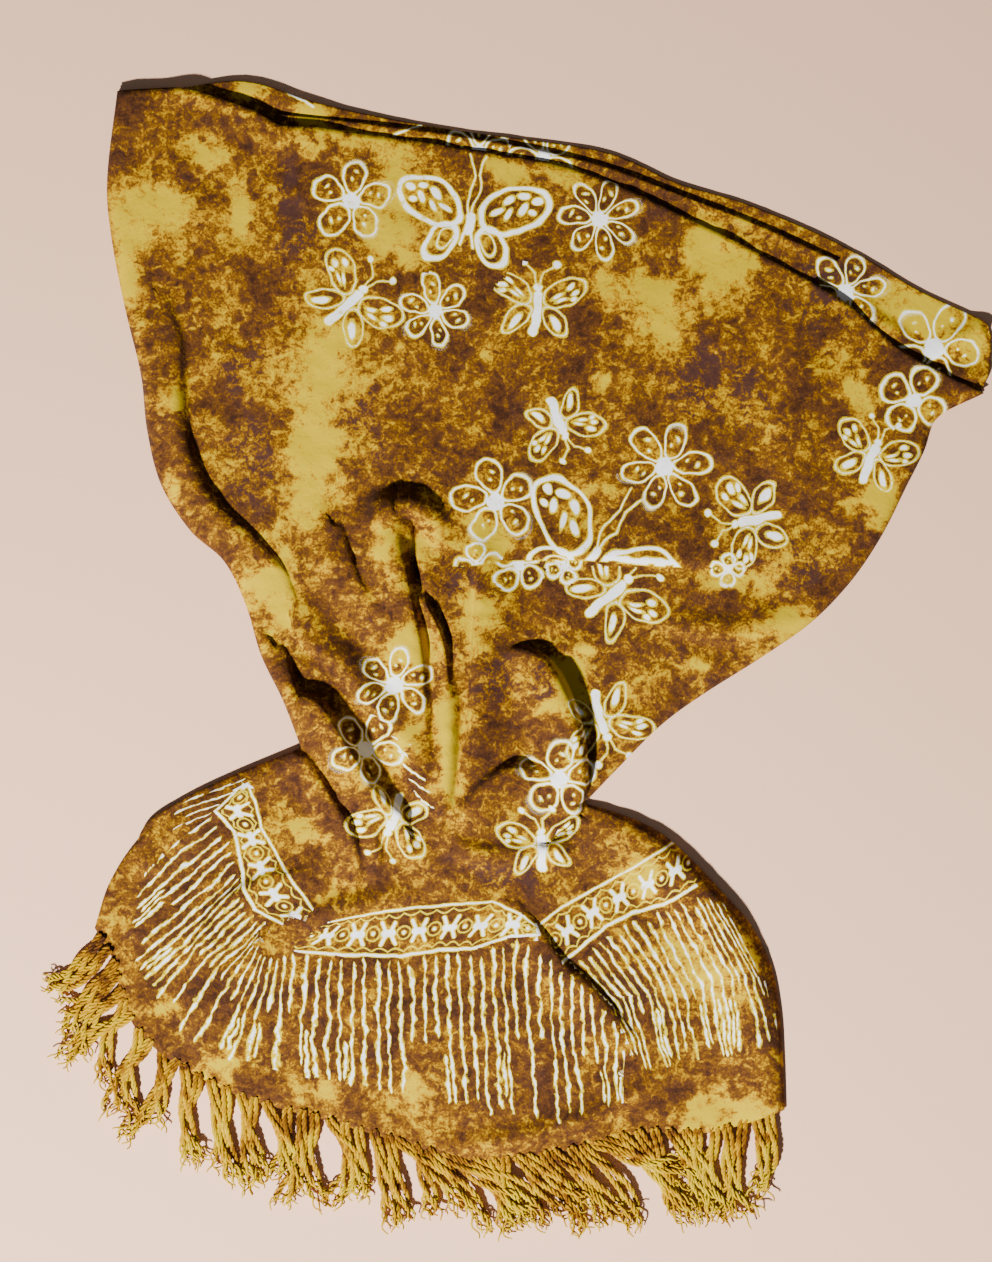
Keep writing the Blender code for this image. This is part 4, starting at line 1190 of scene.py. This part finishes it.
def dyed_cloth(name):
    """Return the batik cloth's material."""
    material = bpy.data.materials.new(name)
    material.use_nodes = True
    pen = Pen(material.node_tree)
    cloth = pen.named("cloth")
    dye = pen.parts(pen.named("dye"))
    amount = dye_value(pen, cloth, dye[0])
    ruled = pen.parts(pen.named("stroke"))[2]
    amount = pen.math("MULTIPLY_ADD", pen.math("MINIMUM", ruled, 1.0), -0.07, amount)
    dyed = ramp(pen, amount, ((0.04, DARK_BROWN), (0.24, BROWN), (0.36, TAN), (0.46, OCHRE),
                              (0.57, GOLDEN), (0.72, YELLOW), (1.0, YELLOW)))
    purple_clouds = pen.math("ADD", pen.math("MULTIPLY", dye[1], 0.8),
                             pen.math("SUBTRACT", pen.noise(cloth, 0.5, 4.0, 0.65, 0.8), 0.36))
    purple = pen.math("MULTIPLY", pen.smooth(purple_clouds, 0.12, 0.55),
                      pen.smooth(amount, 0.46, 0.24))
    dyed = pen.mix(pen.math("MULTIPLY", purple, 0.75), dyed, PURPLE_BROWN)
    above = dye[2]
    draws = ((flower_wax, above), (butterfly_wax, above), (stroke_wax,), (band_wax,))
    distance = pen.smallest(draw(pen, *given) for draw, *given in draws)
    frayed = pen.math("MULTIPLY", pen.math("SUBTRACT", pen.noise(cloth, 9.0, 3.0, 0.6), 0.5), 1.2)
    distance = pen.math("ADD", distance, frayed)
    rim = pen.smooth(distance, 0.75, 0.20)
    wax = pen.smooth(distance, -0.05, -0.45)
    dyed = pen.mix(pen.math("MULTIPLY", rim, 0.9), dyed, WAX_RIM)
    stained = pen.smooth(pen.math("ADD", pen.noise(cloth, 1.3, 4.0, 0.6),
                                  pen.math("MULTIPLY", dye[0], 0.12)), 0.60, 0.74)
    white = pen.mix(pen.math("MULTIPLY", stained, 0.8), WAX_WHITE, WAX_RIM)
    dyed = pen.mix(wax, dyed, white)
    shader = material.node_tree.nodes["Principled BSDF"]
    pen.put(shader.inputs["Base Color"], dyed)
    shader.inputs["Roughness"].default_value = 0.85
    shader.inputs["Specular IOR Level"].default_value = 0.08
    shader.inputs["Sheen Weight"].default_value = 0.02
    crinkle = pen.noise(cloth, 2.2, 3.0, 0.55, 0.8)
    threads = [pen.math("SINE", pen.math("MULTIPLY", pen.parts(cloth)[way], THREADS))
               for way in (0, 1)]
    weave = pen.math("MULTIPLY", *threads)
    height = pen.math("MULTIPLY_ADD", weave, 0.04, crinkle)
    bump = pen.node("ShaderNodeBump", Height=height, Strength=0.35, Distance=0.0012)
    pen.put(shader.inputs["Normal"], bump.outputs[0])
    return material


CLOTH_MATERIAL = dyed_cloth("dyed front cloth")
print("Dyed cloth:", len(CLOTH_MATERIAL.node_tree.nodes), "nodes")

# %% Make the front
front_cloth = cloth_piece("front_cloth", front_grid, front_flat, CLOTH_MATERIAL, FRONT_FIGURES,
                          ruled=True)

# %% [markdown]
# ## The cloth behind the front
# Behind the front the fan has a narrow brown layer, and behind that the doubled back, which stands out
# at the top left, along the top and at the right, where its corner opens like a pocket. They are
# grids too, pulled in a little where the front comes down over their edges.

# %% Lay the two layers behind the fan
PULLED_IN, LOWEST_LAYER = 5.0, 0.95
BACK_LEVEL, MIDDLE_LEVEL, UNDER_LEVEL = 2.1, 4.2, 2.4


def pulled_in(points, inset):
    """Return a side of the fan, shifted inwards from a little below its top."""
    path = smooth_path(points)
    share = run_lengths(path) / run_lengths(path)[-1]
    return beside(path, inset * np.clip((share - 0.02) / 0.05, 0, 1))


def layer_points(spots, level, ridges, ripple):
    """Return a layer's upper surface: a level with ripples, and ridges given as folds are."""
    flat = spots.reshape(-1, 2)
    height = np.full(len(flat), level) + ripple * wrinkles(flat + 37)
    for row in ridges:
        height += one_fold(flat, *row[1:])[0]
    points = np.concatenate([flat, np.maximum(height, LOWEST_LAYER)[:, None]], axis=1)
    return points.reshape(*spots.shape[:2], 3)


BACK_RIDGES = (
    ("raised left part", (0.5, 2.2, 2.6, 2, 0.5), (22, 1.6), (9, 1), 0,
     ((-212, 366), (-186, 370), (-165, 371), (-128, 361), (-92, 350))),
    ("pocket lip", (1, 3.5, 6, 6), (14, 1.6), (4, 0.8), 0,
     ((270, 193), (283, 200), (296, 208), (306, 214))),
    ("corner swell", (2, 3, 2), (9, 1.4), (9, 1.4), 0, ((286, 186), (300, 184), (309, 186))),
    ("crumpled right", (1, 2.5, 2.5, 1), (9, 1.6), (7, 1.2), 0,
     ((226, 240), (236, 222), (252, 212), (262, 200))),
)
back_right = np.vstack([smooth_path(BACK_RIGHT)[:-1], pulled_in(FAN_RIGHT, -PULLED_IN)])
back_waist = along(beside(smooth_path(WAIST), 1.0), np.linspace(0.03, 0.97, 60))
back_spots = patch(smooth_path(BACK_TOP), back_waist, pulled_in(FAN_LEFT, PULLED_IN), back_right,
                   np.linspace(0, 1, 171), uneven_shares(110, 0.0, 0.10, 4.0))
back_grid = layer_points(back_spots, BACK_LEVEL, BACK_RIDGES, 0.3)
back_cloth = cloth_piece("back_cloth", back_grid, back_spots, CLOTH_MATERIAL, BACK_FIGURES)

MIDDLE_RIDGES = (
    ("folded rim", (0.8, 1.0, 1.0, 0.8), (2, 1), (5, 1.6), 0,
     ((-198, 365), (-100, 349), (-20, 338), (59, 321), (157, 284), (212, 259))),
)
middle_right = np.vstack([smooth_path(MIDDLE_END)[:-1],
                          along(pulled_in(FAN_RIGHT, -PULLED_IN), np.linspace(0.12, 1, 60))])
middle_spots = patch(smooth_path(MIDDLE_TOP), back_waist, pulled_in(FAN_LEFT, PULLED_IN), middle_right,
                     np.linspace(0, 1, 151), uneven_shares(80, 0.0, 0.12, 3.0))
middle_grid = layer_points(middle_spots, MIDDLE_LEVEL, MIDDLE_RIDGES, 0.25)
middle_cloth = cloth_piece("middle_cloth", middle_grid, middle_spots, CLOTH_MATERIAL, BACK_FIGURES)

# %% Lay the layer under the bell
under_hem = along(beside(smooth_path(WHOLE_HEM), 1.0), np.linspace(0, 0.985, 240))
under_waist = along(beside(smooth_path(WAIST), -1.0), np.linspace(0, 0.97, 60))
under_spots = patch(under_waist, under_hem, smooth_path(BELL_BACK_LEFT),
                    beside(smooth_path(BELL_RIGHT), -PULLED_IN), np.linspace(0, 1, 151),
                    np.linspace(0, 1, 71))
UNDER_RIDGES = (
    ("wedge fold", (1, 3, 3, 2), (8, 1.6), (10, 1.6), 0,
     ((-216, -95), (-240, -120), (-256, -146), (-262, -170))),
)
under_grid = layer_points(under_spots, UNDER_LEVEL, UNDER_RIDGES, 0.4)
under_cloth = cloth_piece("under_cloth", under_grid, under_spots, CLOTH_MATERIAL)

# %% [markdown]
# ## The fringe
# The hem's warp ends are left long and twisted into tassels: a few cords lie round each other, each
# of them a few yarns, and the yarns fray at their tips. Geometry Nodes repeat this well: one line per
# tassel is doubled into cords, wound, doubled into yarns, wound the other way, and given a thickness.

# %% Build the tree that twists yarns
def twisted_yarns(material):
    """Return the node tree that makes tassels of twisted yarns from single lines."""
    tree = bpy.data.node_groups.new("twisted yarns", "GeometryNodeTree")
    for label, kind, value in (("Geometry", "NodeSocketGeometry", None), ("Steps", "NodeSocketInt", 40),
                               ("Cords", "NodeSocketInt", 3), ("Yarns", "NodeSocketInt", 3),
                               ("Cord turns", "NodeSocketFloat", 0.8),
                               ("Yarn turns", "NodeSocketFloat", 5.0),
                               ("Cord spread", "NodeSocketFloat", 0.0033),
                               ("Yarn spread", "NodeSocketFloat", 0.0010),
                               ("Yarn radius", "NodeSocketFloat", 0.00098),
                               ("Fraying", "NodeSocketFloat", 0.004), ("Seed", "NodeSocketInt", 1)):
        socket = tree.interface.new_socket(label, in_out="INPUT", socket_type=kind)
        if value is not None:
            socket.default_value = value
    tree.interface.new_socket("Geometry", in_out="OUTPUT", socket_type="NodeSocketGeometry")
    pen = Pen(tree)
    given = tree.nodes.new("NodeGroupInput").outputs
    lines = pen.node("GeometryNodeMeshToCurve", Mesh=given["Geometry"]).outputs[0]
    lines = pen.node("GeometryNodeResampleCurve", Curve=lines, Count=given["Steps"]).outputs[0]
    far = pen.node("GeometryNodeSplineParameter").outputs["Factor"]
    ahead = pen.node("GeometryNodeInputTangent").outputs[0]
    sideways = pen.vector("NORMALIZE", pen.vector("CROSS_PRODUCT", ahead, (0, 0, 1)))
    upwards = pen.vector("CROSS_PRODUCT", sideways, ahead)
    strand = pen.node("GeometryNodeCurveOfPoint").outputs["Curve Index"]

    def chance(low, high, salt):
        """Return a random number that is the same all along one strand."""
        added = pen.node("FunctionNodeRandomValue", {"data_type": "FLOAT"})
        pen.put(added.inputs[2], low)
        pen.put(added.inputs[3], high)
        pen.put(added.inputs["ID"], strand)
        pen.put(added.inputs["Seed"], pen.math("ADD", given["Seed"], salt))
        return added.outputs[1]

    def wound(curves, copies, turns, spread, flat):
        """Copy each strand and wind the copies round its line."""
        copied = pen.node("GeometryNodeDuplicateElements", {"domain": "SPLINE"}, Geometry=curves,
                          Amount=copies)
        share = pen.math("DIVIDE", copied.outputs[1], copies)
        turned = pen.math("ADD", share, pen.math("MULTIPLY", far, turns))
        angle = pen.math("MULTIPLY", turned, 2 * math.pi)
        side = pen.math("MULTIPLY", pen.math("COSINE", angle), spread)
        up = pen.math("MULTIPLY", pen.math("MULTIPLY", pen.math("SINE", angle), spread), flat)
        shift = pen.vector("ADD", pen.scaled(sideways, side), pen.scaled(upwards, up))
        return pen.node("GeometryNodeSetPosition", Geometry=copied.outputs[0], Offset=shift).outputs[0]

    flare = pen.math("MULTIPLY_ADD", pen.math("POWER", far, 1.5), 1.1, 0.6)
    cords = wound(lines, given["Cords"], given["Cord turns"],
                  pen.math("MULTIPLY", given["Cord spread"], flare), 0.45)
    loosening = pen.math("MULTIPLY_ADD", pen.math("POWER", far, 6.0), 1.2, 1.0)
    yarns = wound(cords, given["Yarns"], pen.math("MULTIPLY", given["Yarn turns"], -1.0),
                  pen.math("MULTIPLY", given["Yarn spread"], loosening), 0.8)
    fray = pen.math("MULTIPLY", pen.math("POWER", far, 5.0), given["Fraying"])
    ways = pen.node("ShaderNodeCombineXYZ", X=chance(-1.0, 1.0, 3), Y=chance(-1.0, 1.0, 5),
                    Z=chance(0.0, 0.25, 7)).outputs[0]
    yarns = pen.node("GeometryNodeSetPosition", Geometry=yarns,
                     Offset=pen.scaled(ways, fray)).outputs[0]
    kept = pen.node("ShaderNodeCombineXYZ", X=chance(0.0, 1.0, 11), Y=far, Z=0.0).outputs[0]
    stored = pen.node("GeometryNodeStoreNamedAttribute",
                      {"data_type": "FLOAT_VECTOR", "domain": "POINT"}, Geometry=yarns, Name="yarn")
    pen.put(stored.inputs["Value"], kept)
    ring = pen.node("GeometryNodeCurvePrimitiveCircle", Resolution=5,
                    Radius=given["Yarn radius"]).outputs[0]
    taper = pen.math("SUBTRACT", 1.0, pen.math("MULTIPLY", pen.math("POWER", far, 4.0), 0.55))
    mesh = pen.node("GeometryNodeCurveToMesh", Curve=stored.outputs[0], Profile_Curve=ring, Scale=taper,
                    Fill_Caps=True).outputs[0]
    mesh = pen.node("GeometryNodeRealizeInstances", Geometry=mesh).outputs[0]
    mesh = pen.node("GeometryNodeSetMaterial", Geometry=mesh, Material=material).outputs[0]
    pen.put(tree.nodes.new("NodeGroupOutput").inputs[0], mesh)
    return tree


# %% Dye the yarns
def dyed_yarn():
    """Return the fringe's material: golden and brown yarns with yellow tips."""
    material = bpy.data.materials.new("dyed yarn")
    material.use_nodes = True
    pen = Pen(material.node_tree)
    yarn = pen.named("yarn")
    far = pen.parts(yarn)[1]
    place = pen.node("ShaderNodeTexCoord").outputs["Object"]
    blotches = pen.noise(place, 55.0, 3.0, 0.6, 0.6)
    along_yarn = pen.noise(pen.vector("MULTIPLY", yarn, (40.0, 7.0, 0.0)), 1.0, 3.0, 0.6)
    amount = pen.math("ADD", pen.math("MULTIPLY", blotches, 0.75),
                      pen.math("MULTIPLY", along_yarn, 0.45))
    amount = pen.math("MULTIPLY_ADD", far, 0.16, amount)
    dyed = ramp(pen, amount, ((0.38, DARK_BROWN), (0.48, BROWN), (0.56, OCHRE), (0.65, GOLDEN),
                              (0.80, YELLOW)))
    shader = material.node_tree.nodes["Principled BSDF"]
    pen.put(shader.inputs["Base Color"], dyed)
    shader.inputs["Roughness"].default_value = 0.85
    shader.inputs["Specular IOR Level"].default_value = 0.08
    fibres = pen.node("ShaderNodeBump", Height=pen.noise(place, 1400.0, 2.0), Strength=0.4,
                      Distance=0.0004)
    pen.put(shader.inputs["Normal"], fibres.outputs[0])
    return material


YARN_MATERIAL = dyed_yarn()
YARN_TREE = twisted_yarns(YARN_MATERIAL)
print("Yarn tree:", len(YARN_TREE.nodes), "nodes")

# %% Lay a line for each tassel
FRINGE_STRIPS = (
    ("fringe_corner", 0.008, 0.128, 7, -146, -116),
    ("fringe_left", 0.133, 0.345, 11, -114, -82),
    ("fringe_middle", 0.350, 0.610, 14, -84, -50),
    ("fringe_right", 0.615, 0.800, 11, -62, -48),
    ("fringe_end", 0.805, 0.992, 10, -66, -90),
)
TASSEL_LENGTH, TASSEL_BEND, TASSEL_SHORTER, TASSEL_LONGER = 56.0, 7.0, -13, 9
TURN_SPREAD, FOOT_SPREAD, FIRST_SEED = 13, 0.16, 20
hem_line = smooth_path(WHOLE_HEM)


def tassel_lines(row, dice):
    """Return the lines of a strip's tassels, each a run of smooth points lying on the surface."""
    _, start, end, count, first, last = row
    lines = []
    for number in range(count):
        share = (number + 0.5 + dice.uniform(-FOOT_SPREAD, FOOT_SPREAD)) / count
        foot = along(hem_line, start + (end - start) * share)
        lean = math.radians(first + (last - first) * number / (count - 1)
                            + dice.normal(0, TURN_SPREAD))
        length = TASSEL_LENGTH + dice.uniform(TASSEL_SHORTER, TASSEL_LONGER)
        bend = dice.uniform(-TASSEL_BEND, TASSEL_BEND)
        ahead = np.array([math.cos(lean), math.sin(lean)])
        aside = np.array([-ahead[1], ahead[0]])
        points = []
        for far, swing, level in ((-0.05, 0, 4.0), (0.12, 0.1, 4.4), (0.4, 0.8, 4.4), (0.72, 0.5, 4.2),
                                  (1.0, -0.7, 4.6)):
            spot = foot + ahead * length * far + aside * bend * swing
            points.append((*spot, level))
        lines.append(smooth_path(points, COARSE_STEPS))
    return lines


def fringe_piece(row, seed):
    """Run the yarn tree over a strip's lines and keep the result as a plain mesh."""
    lines = tassel_lines(row, np.random.default_rng(seed))
    points, edges = [], []
    for path in lines:
        first = len(points)
        points += (path * MM).tolist()
        edges += [(first + i, first + i + 1) for i in range(len(path) - 1)]
    mesh = bpy.data.meshes.new(row[0] + " lines")
    mesh.from_pydata(points, edges, [])
    holder = placed(row[0] + "_yarns", mesh)
    modifier = holder.modifiers.new("twist", "NODES")
    modifier.node_group = YARN_TREE
    sockets = {item.name: item.identifier for item in YARN_TREE.interface.items_tree
               if item.in_out == "INPUT"}
    modifier[sockets["Seed"]] = seed
    evaluated = holder.evaluated_get(bpy.context.evaluated_depsgraph_get())
    finished = bpy.data.meshes.new_from_object(evaluated)
    holder.modifiers.remove(modifier)
    holder.data = finished
    finished.polygons.foreach_set("use_smooth", np.ones(len(finished.polygons), dtype=bool))
    triangles = sum(len(face.vertices) - 2 for face in finished.polygons)
    print("%s: %d tassels, %d triangles" % (row[0], len(lines), triangles))
    return holder


fringes = {row[0]: fringe_piece(row, FIRST_SEED + number) for number, row in enumerate(FRINGE_STRIPS)}

# %% [markdown]
# ## The floor, the light and the camera
# The sarong lies on a plain pale floor and is seen from straight above. A long lens keeps the scale
# the same all over. One soft lamp stands at the lower left, so that each fold is dark on its
# upper right side, and a pale world fills the shadows.

# %% Set the stage
FLOOR_HALF, CAMERA_HEIGHT, VIEW_HEIGHT, CAMERA_PLACE = 2, 2.2, 0.8203, (-0.00845, 0.0198)
LAMP_PLACE, LAMP_SIZE, LAMP_POWER, WORLD_STRENGTH = (-0.95, -1.65, 1.75), 0.17, 240.0, 0.13
floor_mesh = bpy.data.meshes.new("floor")
floor_level = cad_box[0][2]
floor_mesh.from_pydata([(x * FLOOR_HALF, y * FLOOR_HALF, floor_level)
                        for x, y in ((-1, -1), (1, -1), (1, 1), (-1, 1))], [], [(0, 1, 2, 3)])
floor_material = bpy.data.materials.new("plain paper")
floor_material.use_nodes = True
floor_shader = floor_material.node_tree.nodes["Principled BSDF"]
floor_shader.inputs["Base Color"].default_value = (0.78, 0.475, 0.32, 1.0)
floor_shader.inputs["Roughness"].default_value = 0.9
floor_mesh.materials.append(floor_material)
floor = placed("floor", floor_mesh)

camera_data = bpy.data.cameras.new("camera")
camera_data.sensor_fit = "VERTICAL"
camera_data.lens = camera_data.sensor_height * CAMERA_HEIGHT / VIEW_HEIGHT
camera = placed("camera", camera_data)
camera.location = (*CAMERA_PLACE, CAMERA_HEIGHT)
bpy.context.scene.camera = camera

lamp_data = bpy.data.lights.new("window lamp", "AREA")
lamp_data.shape = "DISK"
lamp_data.size = LAMP_SIZE
lamp_data.energy = LAMP_POWER
lamp_data.color = (1.0, 0.98, 0.94)
lamp = placed("window lamp", lamp_data)
lamp.location = LAMP_PLACE
lamp.rotation_euler = (-lamp.location).to_track_quat("-Z", "Y").to_euler()

world = bpy.data.worlds.new("pale room")
world.use_nodes = True
world.node_tree.nodes["Background"].inputs[0].default_value = (0.95, 0.97, 1.0, 1.0)
world.node_tree.nodes["Background"].inputs[1].default_value = WORLD_STRENGTH
bpy.context.scene.world = world
print("Lens: %.1f mm" % camera_data.lens)

# %% [markdown]
# ## Put the pieces on the body
# Each piece rides on the sarong's one body and stands for the plain pieces it dresses, which are
# hidden. The areas are measured on the grids; the flat sizes were judged by eye, and the grids' own
# runs differ from some of them.

for piece, nodes, slot in ((front_cloth, ("front_fan", "front_bell"), "front_cloth"),
                           (middle_cloth, ("middle_fan",), "back_cloth"),
                           (back_cloth, ("back_fan",), "back_cloth"),
                           (under_cloth, ("back_bell",), "back_cloth")):
    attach(piece, "root")
    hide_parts(*nodes)
for name, piece in fringes.items():
    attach(piece, "root")
    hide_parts(name)
